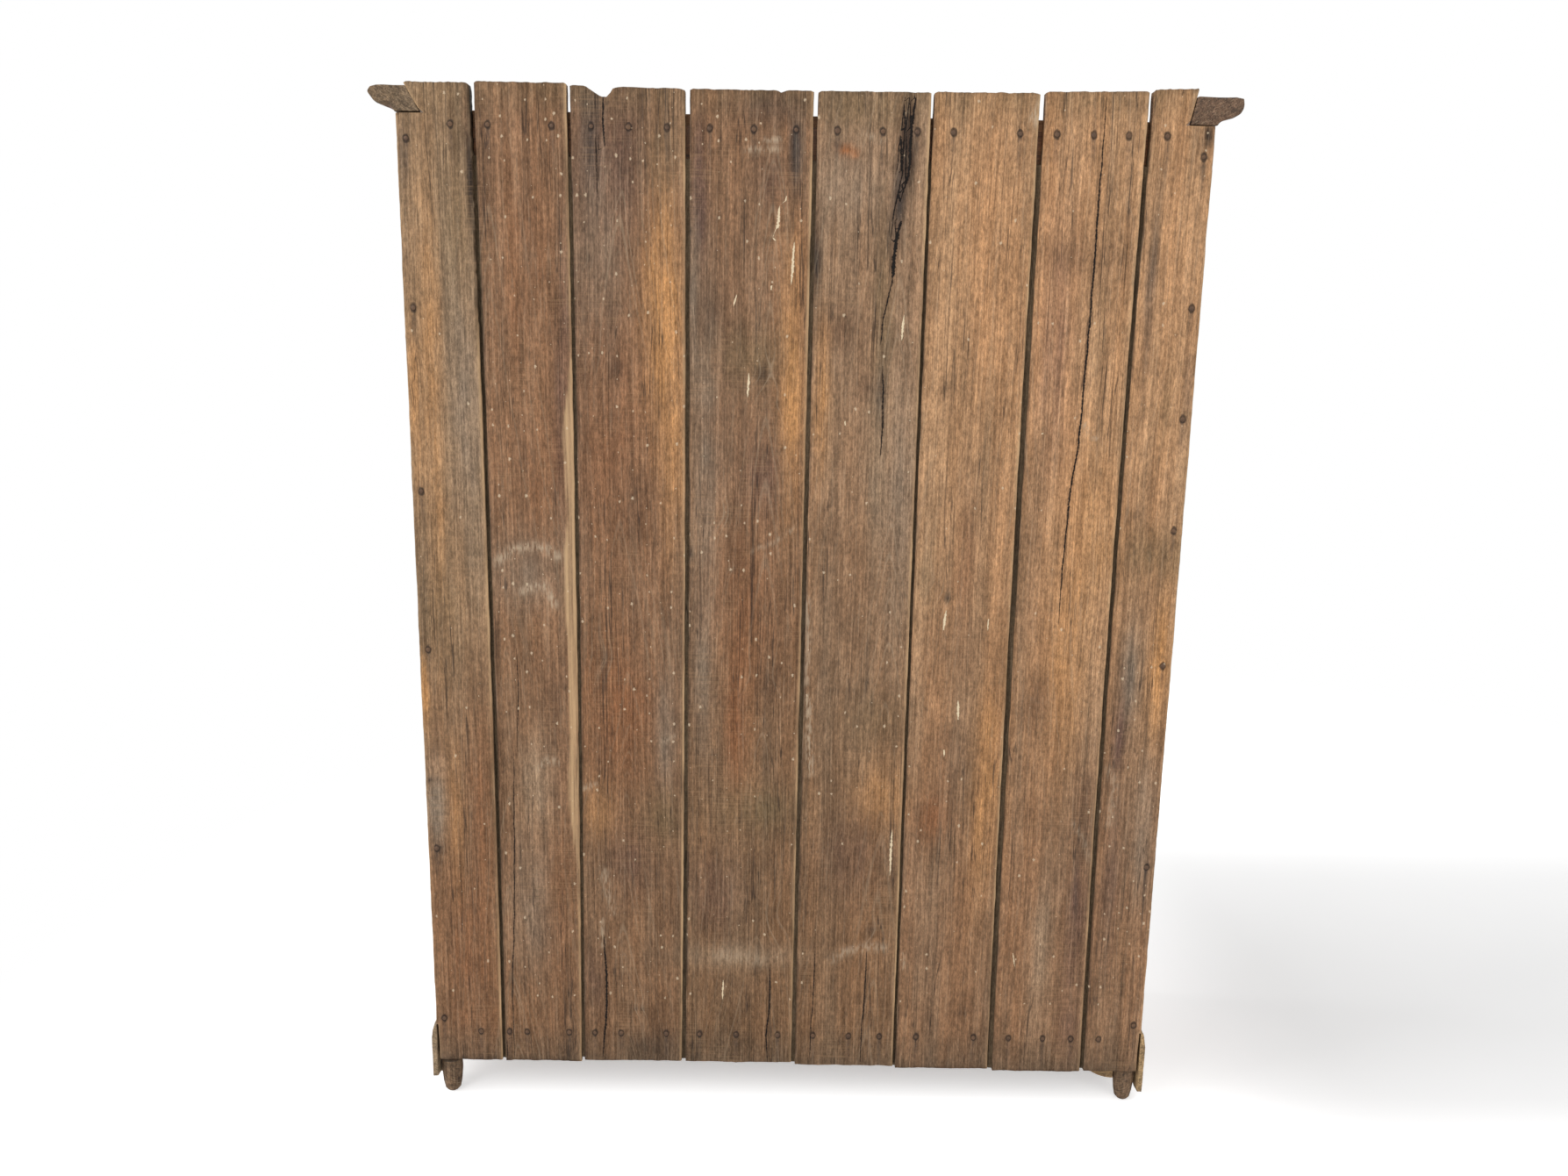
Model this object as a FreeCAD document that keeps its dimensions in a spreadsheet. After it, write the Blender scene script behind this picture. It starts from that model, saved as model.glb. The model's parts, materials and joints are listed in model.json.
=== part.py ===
import FreeCAD, Part

import math
import os

import Sketcher

# A two-door glazed cabinet in old teak: four corner posts on turned feet, framed sides, nailed
# vertical back boards, a mitred crown moulding, a shaped plinth skirt and two glazed doors.
# Millimetres, +Z up, the doors face -Y and the back boards face +Y. The origin is on the floor,
# in the middle of the whole piece.

SIZES = (
    ("carcass_width", 1500, "width over the corner posts"),
    ("carcass_depth", 430, "front of the posts to the inside of the back boards"),
    ("frame_height", 1997, "floor to the top of the posts and rails"),
    ("post_width", 48, "corner post, across the front"),
    ("post_depth", 48, "corner post, front to back"),
    ("foot_height", 85, "turned foot below the square post"),
    ("foot_radius", 22.5, "turned foot, at its widest"),
    ("back_foot_height", 74, "turned foot below a back post, under the boards"),
    ("back_foot_offset", 18, "middle of a back post to the middle of its foot"),
    ("rail_height", 70, "height of the carcass rails"),
    ("base_height", 110, "floor to the underside of the lowest rails"),
    ("side_rail_thickness", 25, "side rails"),
    ("side_rail_inset", 10, "carcass side to the outer face of the side rails"),
    ("middle_rail_height", 1030, "floor to the middle of the side's middle rail"),
    ("side_panel_thickness", 12, "side panels"),
    ("groove_depth", 12, "depth of the panel grooves"),
    ("groove_spare", 2, "room left for a panel at the bottom of its groove"),
    ("tenon_length", 20, "stub tenons of the carcass rails"),
    ("tenon_thickness", 10, "stub tenons of the carcass rails"),
    ("tenon_shoulder", 10, "shoulder above and below a stub tenon"),
    ("front_tenon_inset", 15, "front face to the front rails' tenons"),
    ("back_rail_thickness", 30, "back rails"),
    ("back_rail_height", 60, "height of the upper back rail"),
    ("back_tenon_inset", 9, "back face to the back rails' tenons"),
    ("top_panel_thickness", 20, "top panel"),
    ("top_panel_rise", 7, "top panel above the rails"),
    ("bottom_panel_thickness", 18, "bottom panel"),
    ("stop_lip", 8, "lip of a front rail behind the doors"),
    ("stop_clearance", 0.5, "door to the lip behind it"),
    ("cleat_width", 20, "cleats under the shelves and panels"),
    ("cleat_height", 20, "cleats under the shelves and panels"),
    ("cleat_housing", 6, "end of a side cleat let into a post"),
    ("panel_side_clearance", 5, "top and bottom panel to the side rails"),
    ("shelf_thickness", 20, "shelves"),
    ("shelf_end_clearance", 1, "shelf to the side frame"),
    ("shelf_setback", 25, "back of the doors to a shelf"),
    ("board_thickness", 20, "back boards"),
    ("board_height", 2050, "floor to the nominal top of the back boards"),
    ("joint_gap", 6.5, "nominal open gap between two back boards"),
    ("lap_thickness", 10, "inner half of a back board, which laps its neighbour"),
    ("lap_width", 9, "lap of a back board behind its neighbour"),
    ("lap_clearance", 1, "end of a lap to the shoulder behind it"),
    ("top_nail_height", 1976, "floor to the upper row of nails"),
    ("bottom_nail_height", 152, "floor to the lower row of nails"),
    ("edge_nail_inset", 18, "carcass side to the nails along it"),
    ("nail_head_radius", 4.8, "wrought nail head"),
    ("nail_head_height", 2.4, "wrought nail head"),
    ("nail_shank_radius", 1.7, "wrought nail"),
    ("nail_length", 42, "wrought nail under its head"),
    ("cornice_reach", 50, "crown moulding beyond the carcass"),
    ("cornice_rise", 45, "crown moulding above the rails"),
    ("cornice_step", 3, "foot of the crown moulding beyond the carcass"),
    ("cornice_mid_reach", 30, "where the moulding's hollow meets its round"),
    ("cornice_mid_rise", 20, "where the moulding's hollow meets its round"),
    ("cornice_nose", 7, "flat nose of the crown moulding"),
    ("cornice_hollow_radius", 30, "lower, hollow part of the crown moulding"),
    ("cornice_round_radius", 24, "upper, round part of the crown moulding"),
    ("cornice_back_foot", 39, "back of the moulding at its foot, inside the carcass face"),
    ("cornice_back_head", 15, "back of the moulding at its top, inside the carcass face"),
    ("notch_clearance", 1.5, "back board notch to the moulding or skirt in it"),
    ("skirt_thickness", 16, "plinth skirt"),
    ("skirt_top", 165, "floor to the top of the skirt"),
    ("skirt_bottom", 28, "floor to the lowest point of the skirt"),
    ("skirt_arch", 86, "floor to the skirt's edge between the feet"),
    ("skirt_toe", 62, "flat toe of the skirt under a corner"),
    ("skirt_bracket", 58, "length of the scrolled bracket beside a toe"),
    ("skirt_scroll_curve", 30, "radius of the two scrolls of a bracket"),
    ("skirt_notch_depth", 4, "back board's notch beside a side skirt"),
    ("skirt_break", 18, "height of the broken-off toe at one back corner"),
    ("skirt_break_length", 44, "length of the broken-off toe"),
    ("skirt_chamfer_in", 8, "bevel along the top of the skirt"),
    ("skirt_chamfer_down", 30, "bevel along the top of the skirt"),
    ("rear_bracket_thickness", 18, "bracket behind the boards at one back foot"),
    ("rear_bracket_length", 66, "bracket behind the boards at one back foot"),
    ("rear_bracket_toe", 48, "floor to the bracket's lowest point"),
    ("rear_bracket_end", 78, "floor to the bracket's far end"),
    ("rear_bracket_curve", 90, "radius of the bracket's lower edge"),
    ("door_gap", 2.5, "gap round a door and between the two"),
    ("door_thickness", 30, "doors"),
    ("stile_width", 70, "door stiles"),
    ("door_top_rail", 75, "height of a door's top rail"),
    ("door_bottom_rail", 110, "height of a door's bottom rail"),
    ("moulding", 8, "quarter-round on the doors' inner edges"),
    ("glass_depth", 16, "front face of a door to its glass"),
    ("rebate_width", 10, "glass rebate of a stile or rail"),
    ("bar_width", 22, "glazing bar, across its moulding"),
    ("bar_rib", 7, "glazing bar, behind the glass"),
    ("door_tenon_thickness", 8, "through tenons of the door rails"),
    ("door_tenon_haunch", 12, "edge of a door rail to its tenon"),
    ("glass_thickness", 3, "panes"),
    ("glass_spare", 1.5, "edge of a pane to the rebate's side"),
    ("bead_height", 8, "glazing beads, front to back"),
    ("bead_spare", 2, "bead set back from the sight line"),
    ("hinge_length", 76, "butt hinges"),
    ("hinge_leaf_thickness", 2, "butt hinges"),
    ("hinge_leaf_depth", 26, "butt hinges, from the door's face inwards"),
    ("hinge_setback", 150, "door's end to the middle of an outer hinge"),
    ("knuckle_radius", 5.5, "butt hinges"),
    ("knuckle_gap", 0.3, "between two knuckles"),
    ("pin_radius", 2.5, "hinge pins"),
    ("pin_clearance", 0.05, "hinge pin to its knuckles"),
    ("pin_axis_offset", 6, "front face to the hinge axis"),
    ("pin_head_radius", 4.4, "button ends of a hinge pin"),
    ("pin_head_height", 3, "button ends of a hinge pin"),
    ("knob_radius", 14, "turned brass knob"),
    ("knob_reach", 32, "knob from the door's face"),
    ("knob_stem_radius", 4, "knob's stem in the stile"),
    ("knob_stem_length", 22, "knob's stem in the stile"),
    ("knob_rise", 92, "key to the knob"),
    ("stem_clearance", 0.3, "knob's stem to its hole"),
    ("lock_height", 1008, "floor to the key"),
    ("lock_width", 58, "lock case, along the door"),
    ("lock_depth", 13, "lock case, front to back"),
    ("lock_rise", 32, "lock case above the key"),
    ("lock_drop", 18, "lock case below the key"),
    ("lock_wall", 1.5, "lock case"),
    ("lock_bolt_thickness", 7, "lock bolt, front to back"),
    ("lock_bolt_height", 16, "lock bolt"),
    ("lock_bolt_length", 44, "lock bolt"),
    ("lock_bolt_throw", 9, "travel of the lock bolt"),
    ("lock_bolt_clearance", 0.4, "lock bolt to its case and mortise"),
    ("lock_bolt_lift", 8, "key to the underside of the lock bolt"),
    ("talon_width", 11, "notch of the lock bolt for the key's bit"),
    ("talon_depth", 2.2, "notch of the lock bolt for the key's bit"),
    ("talon_offset", 6, "key to the middle of that notch"),
    ("key_inset", 30, "door's edge to the key"),
    ("key_radius", 2.6, "key's shank"),
    ("key_hole_radius", 4, "hole for the key"),
    ("key_reach", 34, "key in front of the door"),
    ("key_collar_radius", 5.2, "collar of the key, against the keyhole plate"),
    ("key_collar_length", 3, "collar of the key, against the keyhole plate"),
    ("key_bow_radius", 9, "ring of the key, to the middle of its wire"),
    ("key_bow_wire", 2, "ring of the key"),
    ("key_bit_length", 9, "key's bit, from the shank's axis"),
    ("key_bit_width", 6, "key's bit, along the shank"),
    ("key_bit_thickness", 2.2, "key's bit"),
    ("key_slot_clearance", 0.5, "key's bit to the keyhole's slot"),
    ("escutcheon_width", 24, "keyhole plate"),
    ("escutcheon_height", 44, "keyhole plate"),
    ("escutcheon_thickness", 1.5, "keyhole plate"),
    ("strike_width", 18, "strike plate, front to back"),
    ("strike_height", 46, "strike plate"),
    ("strike_thickness", 1.5, "strike plate"),
    ("strike_pocket", 14, "mortise behind the strike plate"),
    ("barrel_bolt_width", 26, "back plate of a barrel bolt"),
    ("barrel_bolt_length", 118, "back plate of a barrel bolt"),
    ("barrel_bolt_plate", 2, "back plate of a barrel bolt"),
    ("barrel_bolt_setback", 5, "rail's lip to the bolt's back plate"),
    ("bolt_rod_radius", 4, "sliding rod of a barrel bolt"),
    ("bolt_rod_length", 117, "sliding rod of a barrel bolt"),
    ("bolt_rod_throw", 22, "travel of a rod"),
    ("bolt_rod_setback", 2, "rail's lip to the drawn rod"),
    ("bolt_rod_clearance", 0.1, "rod to its guide loops"),
    ("bolt_socket_clearance", 0.8, "rod to the hole in the rail"),
    ("bolt_socket_depth", 26, "hole in the rail for the rod"),
    ("guide_radius", 6.6, "guide loops of a barrel bolt"),
    ("guide_length", 12, "guide loops of a barrel bolt"),
    ("guide_setback", 3, "plate's end to the outer guide loop"),
    ("guide_spacing", 82, "between the two guide loops"),
    ("bolt_stub_radius", 3.2, "thumb stub of a rod"),
    ("bolt_stub_length", 14, "thumb stub of a rod, from the rod's axis"),
    ("bolt_stub_setback", 67, "rod's outer end to its thumb stub"),
)

# Back boards, listed from the +X corner to the -X corner, which is left to right seen from behind.
# Places across are shares of half the carcass width, heights are shares of board_height.
joint_top_shares = (0.812, 0.579, 0.289, -0.023, -0.307, -0.575, -0.839)
joint_bottom_shares = (0.811, 0.587, 0.301, -0.011, -0.300, -0.575, -0.839)
joint_gap_shares = (1.0, 0.9, 1.1, 1.1, 0.75, 1.45, 1.1)
board_top_shares = (
    (0.9990, 0.9990),
    (1.0000, 1.0000),
    (0.9985, 0.9966),
    (0.9968, 0.9970),
    (0.9970, 0.9972),
    (0.9978, 0.9982),
    (0.9995, 1.0015),
    (1.0029, 1.0044),
)
board_bottom_shares = (0.0415, 0.0412, 0.0429, 0.0424, 0.0405, 0.0385, 0.0366, 0.0376)
# The broken notch in the top of the third board: along its top edge, and down from it.
split_notch_shares = ((0.15, 0.0), (0.27, 0.0088), (0.33, 0.0088), (0.386, 0.0015), (0.43, 0.0))
# The back boards' notch round the crown moulding, as shares of its reach: at its foot and its top.
cornice_notch_shares = {1: (0.93, 0.34), -1: (0.96, 0.68)}
# Turned outlines, as shares of the largest radius and of the length, from one end to the other.
foot_shares = ((0.48, 0.0), (0.72, 0.08), (0.88, 0.32), (1.0, 0.68), (0.95, 1.0))
knob_shares = (
    (0.79, 0.0), (0.79, 0.08), (0.43, 0.2), (0.43, 0.4), (0.78, 0.46), (1.0, 0.6),
    (1.0, 0.74), (0.82, 0.91), (0.5, 1.0),
)
# The keyhole plate's outline, as shares of half its width and of half its height.
plate_shares = (
    (-1.0, -0.62), (-0.5, -1.0), (0.5, -1.0), (1.0, -0.62),
    (1.0, 0.62), (0.5, 1.0), (-0.5, 1.0), (-1.0, 0.62),
)
# Nails, seen from behind: along the two rows, and up the two sides.
top_nail_shares = (
    0.867, 0.776, 0.620, 0.524, 0.433, 0.339, 0.235, 0.127, 0.024, -0.077,
    -0.188, -0.272, -0.360, -0.523, -0.613, -0.703, -0.789, -0.883,
)
bottom_nail_shares = (
    0.873, 0.793, 0.743, 0.624, 0.551, 0.476, 0.349, 0.255, 0.151, 0.033,
    -0.067, -0.168, -0.255, -0.360, -0.523, -0.623, -0.720, -0.800, -0.879,
)
near_side_nail_shares = (0.9512, 0.8040, 0.6351, 0.4810, 0.2756, 0.0885)
far_side_nail_shares = (0.9468, 0.8146, 0.7137, 0.6085, 0.4756, 0.2659, 0.0905)

LEFT, RIGHT = -1, 1
OVERRUN = 40
SMALLEST = 1e-9
SPLIT_BOARD = 2
FULL_TURN = 360
QUARTER_TURN = 90
KNUCKLES = 3
HEAD_SIDES = 4
BUTTON_SIDES = 8
KNUCKLE_SIDES = 8
BARREL_SIDES = 12
KNOB_SIDES = 16
HOLE_SPREAD = 1 / math.cos(math.pi / BARREL_SIDES)
OVOLO_FLAT = 1 - math.sqrt(0.5)
PANES_UP = 4

doc = FreeCAD.newDocument("glazed_cabinet")
sheet = doc.addObject("Spreadsheet::Sheet", "Sizes")
for row, (alias, number, note) in enumerate(SIZES, start=1):
    sheet.set(f"A{row}", note)
    sheet.set(f"B{row}", str(number))
    sheet.setAlias(f"B{row}", alias)
doc.recompute()


class Measure:
    """A length: its value now, and the spreadsheet expression that gives it."""

    def __init__(self, value, text):
        self.value = value
        self.text = text

    def __add__(self, other):
        other = measure(other)
        return Measure(self.value + other.value, f"({self.text} + {other.text})")

    def __sub__(self, other):
        other = measure(other)
        return Measure(self.value - other.value, f"({self.text} - {other.text})")

    def __mul__(self, share):
        share = measure(share)
        return Measure(self.value * share.value, f"({self.text} * {share.text})")

    def __truediv__(self, share):
        share = measure(share)
        return Measure(self.value / share.value, f"({self.text} / {share.text})")

    def __neg__(self):
        return Measure(-self.value, f"(0 - {self.text})")


def measure(thing):
    return thing if isinstance(thing, Measure) else Measure(thing, f"({thing!r})")


class Sheet:
    """The sheet's cells, each as a measure under its alias."""

    def __getattr__(self, alias):
        return Measure(float(sheet.get(alias)), f"Sizes.{alias}")


size = Sheet()
ZERO = measure(0)
finished = []


def bind(item, path, length):
    item.setExpression(path, measure(length).text)


def keep(*items):
    """Lists finished sub-parts, each of which is written to a file of its own."""
    finished.extend(items)


def span(side, inner, outer):
    """The x range between two distances from the middle, on the left or the right."""
    return (inner, outer) if side == RIGHT else (-outer, -inner)


def middle(low, high):
    return (low + high) / 2


def centred(centre, width):
    return centre - width / 2, centre + width / 2


def place(item, x, y, z):
    for path, length in (("x", x), ("y", y), ("z", z)):
        bind(item, f"Placement.Base.{path}", length)


def box(name, x, y, z):
    piece = doc.addObject("Part::Box", name)
    for path, (low, high) in (("Length", x), ("Width", y), ("Height", z)):
        bind(piece, path, measure(high) - measure(low))
    place(piece, x[0], y[0], z[0])
    return piece


AXIS_TURNS = {
    "x": FreeCAD.Rotation(FreeCAD.Vector(0, 1, 0), QUARTER_TURN),
    "y": FreeCAD.Rotation(FreeCAD.Vector(1, 0, 0), -QUARTER_TURN),
    "z": FreeCAD.Rotation(),
}


def rod(name, axis, radius, start, length):
    """A cylinder that runs from start towards the axis' plus end."""
    piece = doc.addObject("Part::Cylinder", name)
    piece.Placement = FreeCAD.Placement(FreeCAD.Vector(), AXIS_TURNS[axis])
    bind(piece, "Radius", radius)
    bind(piece, "Height", length)
    place(piece, *start)
    return piece


def faceted(name, axis, sides, radius, start, length):
    """A rod with flat sides, as filed or hammered metal has, that runs from start towards plus."""
    piece = doc.addObject("Part::Prism", name)
    piece.Placement = FreeCAD.Placement(FreeCAD.Vector(), AXIS_TURNS[axis])
    piece.Polygon = sides
    bind(piece, "Circumradius", radius)
    bind(piece, "Height", length)
    place(piece, *start)
    return piece


def lofted(name, axis, sides, stations):
    """A hand-cut round form: straight flats between many-sided rings, each (radius, spot)."""
    rings = []
    for number, (radius, spot) in enumerate(stations, start=1):
        ring = doc.addObject("Part::RegularPolygon", f"{name}_ring_{number}")
        ring.Placement = FreeCAD.Placement(FreeCAD.Vector(), AXIS_TURNS[axis])
        ring.Polygon = sides
        bind(ring, "Circumradius", radius)
        place(ring, *spot)
        rings.append(ring)
    form = doc.addObject("Part::Loft", name)
    form.Sections = rings
    form.Solid = True
    form.Ruled = True
    form.Linearize = True
    return form


def group(name, pieces):
    several = doc.addObject("Part::Compound", name)
    several.Links = pieces
    return several


def fuse(name, pieces):
    joined = doc.addObject("Part::MultiFuse", name)
    joined.Shapes = pieces
    joined.Refine = True
    return joined


def cut(name, base, tools):
    carved = doc.addObject("Part::Cut", name)
    carved.Base = base
    carved.Tool = tools[0] if len(tools) == 1 else group(f"{name}_tools", tools)
    carved.Refine = True
    return carved


def common(name, first, second):
    shared = doc.addObject("Part::Common", name)
    shared.Base = first
    shared.Tool = second
    shared.Refine = True
    return shared


def is_anticlockwise(points):
    ends = points[1:] + points[:1]
    return sum(a.x * b.y - b.x * a.y for a, b in zip(points, ends)) > 0


def arc_between(start, end, radius, turn):
    """The short arc from start to end that bulges to the right (turn 1) or to the left (turn -1)."""
    chord = end - start
    bulge = FreeCAD.Vector(chord.y, -chord.x, 0).normalize() * turn
    inset = math.sqrt(radius**2 - (chord.Length / 2) ** 2)
    centre = (start + end) * 0.5 - bulge * inset
    circle = Part.Circle(centre, FreeCAD.Vector(0, 0, 1), radius)
    angles = [math.atan2(point.y - centre.y, point.x - centre.x) for point in (start, end)]
    return Part.ArcOfCircle(circle, *angles[::turn])


def sketch(body, name, role, offset, points, arcs=None):
    """A closed outline on one of the body's planes, with every corner and radius bound to the sheet.
    For an edge, named by its first corner, arcs gives (radius, "round" or "hollow")."""
    arcs = arcs or {}
    points = [(measure(u), measure(v)) for u, v in points]
    corners = [FreeCAD.Vector(u.value, v.value, 0) for u, v in points]
    outward = 1 if is_anticlockwise(corners) else -1
    drawing = body.newObject("Sketcher::SketchObject", name)
    plane = next(feature for feature in body.Origin.OriginFeatures if feature.Role == role)
    drawing.AttachmentSupport = (plane, [""])
    drawing.MapMode = "FlatFace"
    bind(drawing, "AttachmentOffset.Base.z", offset)
    ends = []
    for i, (start, end) in enumerate(zip(corners, corners[1:] + corners[:1])):
        turn = 1
        edge = Part.LineSegment(start, end)
        if i in arcs:
            radius, kind = arcs[i]
            turn = outward if kind == "round" else -outward
            edge = arc_between(start, end, radius.value, turn)
        drawing.addGeometry(edge)
        ends.append((1, 2)[::turn])
    ties = []
    for i, (u, v) in enumerate(points):
        after = (i + 1) % len(points)
        first, last = ends[i]
        ties.append((Sketcher.Constraint("Coincident", i, last, after, ends[after][0]), None))
        for kind, axis, length in (("DistanceX", -2, u), ("DistanceY", -1, v)):
            if abs(length.value) < SMALLEST:
                ties.append((Sketcher.Constraint("PointOnObject", i, first, axis), None))
            else:
                tie = Sketcher.Constraint(kind, -1, 1, i, first, length.value)
                ties.append((tie, length))
        if i in arcs:
            radius = arcs[i][0]
            ties.append((Sketcher.Constraint("Radius", i, radius.value), radius))
    drawing.addConstraint([tie for tie, length in ties])
    for i, (tie, length) in enumerate(ties):
        if length is not None:
            bind(drawing, f"Constraints[{i}]", length)
    return drawing


def new_body(name):
    return doc.addObject("PartDesign::Body", name)


def layer(body, name, role, low, high, points, arcs=None, kind="Pad"):
    """An outline across the x, y or z axis, padded or pocketed between two places on that axis."""
    low, high = measure(low), measure(high)
    along_normal = role != "XZ_Plane"
    if kind == "Pad":
        offset = low if along_normal else -high
    else:
        offset = high if along_normal else -low
    drawing = sketch(body, f"{name}_outline", role, offset, points, arcs)
    feature = body.newObject(f"PartDesign::{kind}", f"{name}_{kind.lower()}")
    feature.Profile = drawing
    bind(feature, "Length", high - low)
    return feature


def prism(name, role, low, high, points, arcs=None):
    body = new_body(name)
    layer(body, name, role, low, high, points, arcs)
    return body


# The carcass' main planes
half_width = size.carcass_width / 2
half_depth = (
    size.cornice_reach + size.carcass_depth + size.board_thickness + size.nail_head_height
) / 2
front = size.cornice_reach - half_depth
back = front + size.carcass_depth
behind = back + size.board_thickness
lap_face = back + size.lap_thickness
top = size.frame_height
post_inside = half_width - size.post_width
front_post_back = front + size.post_depth
back_post_front = back - size.post_depth
side_outside = half_width - size.side_rail_inset
side_inside = side_outside - size.side_rail_thickness
side_middle = middle(side_inside, side_outside)
bottom_rail_top = size.base_height + size.rail_height
top_rail_bottom = top - size.rail_height
floor_top = bottom_rail_top + size.stop_lip
floor_bottom = floor_top - size.bottom_panel_thickness
lip_bottom = top_rail_bottom - size.stop_lip
ceiling_top = top + size.top_panel_rise
ceiling_bottom = ceiling_top - size.top_panel_thickness

# The doors' main planes
door_inner = size.door_gap / 2
door_outer = post_inside - size.door_gap
door_bottom = bottom_rail_top + size.door_gap
door_top = top_rail_bottom - size.door_gap
door_back = front + size.door_thickness
glass_front = front + size.glass_depth
glass_back = glass_front + size.glass_thickness
bead_back = glass_back + size.bead_height
light_left = door_inner + size.stile_width
light_right = door_outer - size.stile_width
light_bottom = door_bottom + size.door_bottom_rail
light_top = door_top - size.door_top_rail
bar_reach = size.bar_width / 2
rib_reach = size.bar_rib / 2
bar_heights = [
    light_bottom + (light_top - light_bottom) * (row / PANES_UP) for row in range(1, PANES_UP)
]
bar_middle = middle(light_left, light_right)

# Hardware
hinge_axis_x = post_inside - size.door_gap / 2
hinge_axis_y = front - size.pin_axis_offset
hinge_heights = (
    door_bottom + size.hinge_setback,
    middle(door_bottom, door_top),
    door_top - size.hinge_setback,
)
key_x = door_inner + size.key_inset
lock_front = door_back - size.lock_depth
lock_middle = lock_front + size.lock_depth / 2
lock_bolt_low = size.lock_height + size.lock_bolt_lift
lock_bolt_high = lock_bolt_low + size.lock_bolt_height
lock_bolt_y = centred(lock_middle, size.lock_bolt_thickness)


# Nails: square wrought shanks under eight-sided heads, driven through the back boards
def nail(number, x, z):
    shank = box(
        f"nail_shank_{number}",
        centred(x, size.nail_shank_radius * 2),
        (behind - size.nail_length, behind),
        centred(z, size.nail_shank_radius * 2),
    )
    head = faceted(
        f"nail_head_{number}", "y", HEAD_SIDES, size.nail_head_radius, (x, behind, z),
        size.nail_head_height,
    )
    return shank, head


edge_nail_x = half_width - size.edge_nail_inset
nail_spots = [(half_width * share, size.top_nail_height) for share in top_nail_shares]
nail_spots += [(half_width * share, size.bottom_nail_height) for share in bottom_nail_shares]
nail_spots += [(edge_nail_x, size.board_height * share) for share in near_side_nail_shares]
nail_spots += [(-edge_nail_x, size.board_height * share) for share in far_side_nail_shares]
nails = [nail(number, *spot) for number, spot in enumerate(nail_spots, start=1)]
nail_holes = group("nail_holes", [shank for shank, head in nails])
keep(group("back_nails", [fuse(f"nail_{i}", list(nail)) for i, nail in enumerate(nails, start=1)]))


# Carcass rails, with stub tenons
def tenoned(name, x, y, z, tenon_x, tenon_y):
    tenon_z = (z[0] + size.tenon_shoulder, z[1] - size.tenon_shoulder)
    rail = box(f"{name}_rail", x, y, z)
    return fuse(f"{name}_tenoned", [rail, box(f"{name}_tenon", tenon_x, tenon_y, tenon_z)])


rail_x = (-post_inside, post_inside)
rail_tenon_x = (-post_inside - size.tenon_length, post_inside + size.tenon_length)
front_tenon_start = front + size.front_tenon_inset
front_tenon_y = (front_tenon_start, front_tenon_start + size.tenon_thickness)
back_tenon_end = back - size.back_tenon_inset
back_tenon_y = (back_tenon_end - size.tenon_thickness, back_tenon_end)
front_rail_y = (front, front_post_back)
back_rail_y = (back - size.back_rail_thickness, back)

socket_x = -(door_inner + size.stile_width / 2)
rod_y = door_back + size.guide_radius
socket_radius = (size.bolt_rod_radius + size.bolt_socket_clearance) * HOLE_SPREAD
top_socket = faceted(
    "top_socket",
    "z",
    BARREL_SIDES,
    socket_radius,
    (socket_x, rod_y, lip_bottom),
    size.bolt_socket_depth,
)
bottom_socket = faceted(
    "bottom_socket",
    "z",
    BARREL_SIDES,
    socket_radius,
    (socket_x, rod_y, floor_top - size.bolt_socket_depth),
    size.bolt_socket_depth,
)
door_recess = box(
    "door_recess",
    rail_x,
    (front, door_back + size.stop_clearance),
    (bottom_rail_top, top_rail_bottom),
)
rail_front_top = cut(
    "rail_front_top",
    tenoned("front_top", rail_x, front_rail_y, (lip_bottom, top), rail_tenon_x, front_tenon_y),
    [door_recess, top_socket],
)
rail_front_bottom = cut(
    "rail_front_bottom",
    tenoned(
        "front_bottom",
        rail_x,
        front_rail_y,
        (size.base_height, floor_top),
        rail_tenon_x,
        front_tenon_y,
    ),
    [door_recess, bottom_socket],
)
rail_back_top = cut(
    "rail_back_top",
    tenoned(
        "back_top",
        rail_x,
        back_rail_y,
        (ceiling_bottom - size.back_rail_height, ceiling_bottom),
        rail_tenon_x,
        back_tenon_y,
    ),
    [nail_holes],
)
rail_back_bottom = cut(
    "rail_back_bottom",
    tenoned(
        "back_bottom",
        rail_x,
        back_rail_y,
        (size.base_height, floor_bottom),
        rail_tenon_x,
        back_tenon_y,
    ),
    [nail_holes],
)
keep(rail_front_top, rail_front_bottom, rail_back_top, rail_back_bottom)

# Sides: three rails and two panels each, the panels loose in grooves
middle_rail_z = centred(size.middle_rail_height, size.rail_height)
side_rail_ranges = {
    "bottom": (size.base_height, bottom_rail_top),
    "middle": middle_rail_z,
    "top": (top_rail_bottom, top),
}
side_fields = ((bottom_rail_top, middle_rail_z[0]), (middle_rail_z[1], top_rail_bottom))
side_rail_y = (front_post_back, back_post_front)
side_tenon_y = (front_post_back - size.tenon_length, back_post_front + size.tenon_length)


def side_boxes(name, side, reach):
    """One box for each panel field of a side, wider than the field by reach all round."""
    x = span(side, *centred(side_middle, size.side_panel_thickness))
    y = (front_post_back - reach, back_post_front + reach)
    return [
        box(f"{name}_{number}", x, y, (low - reach, high + reach))
        for number, (low, high) in enumerate(side_fields, start=1)
    ]


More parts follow.
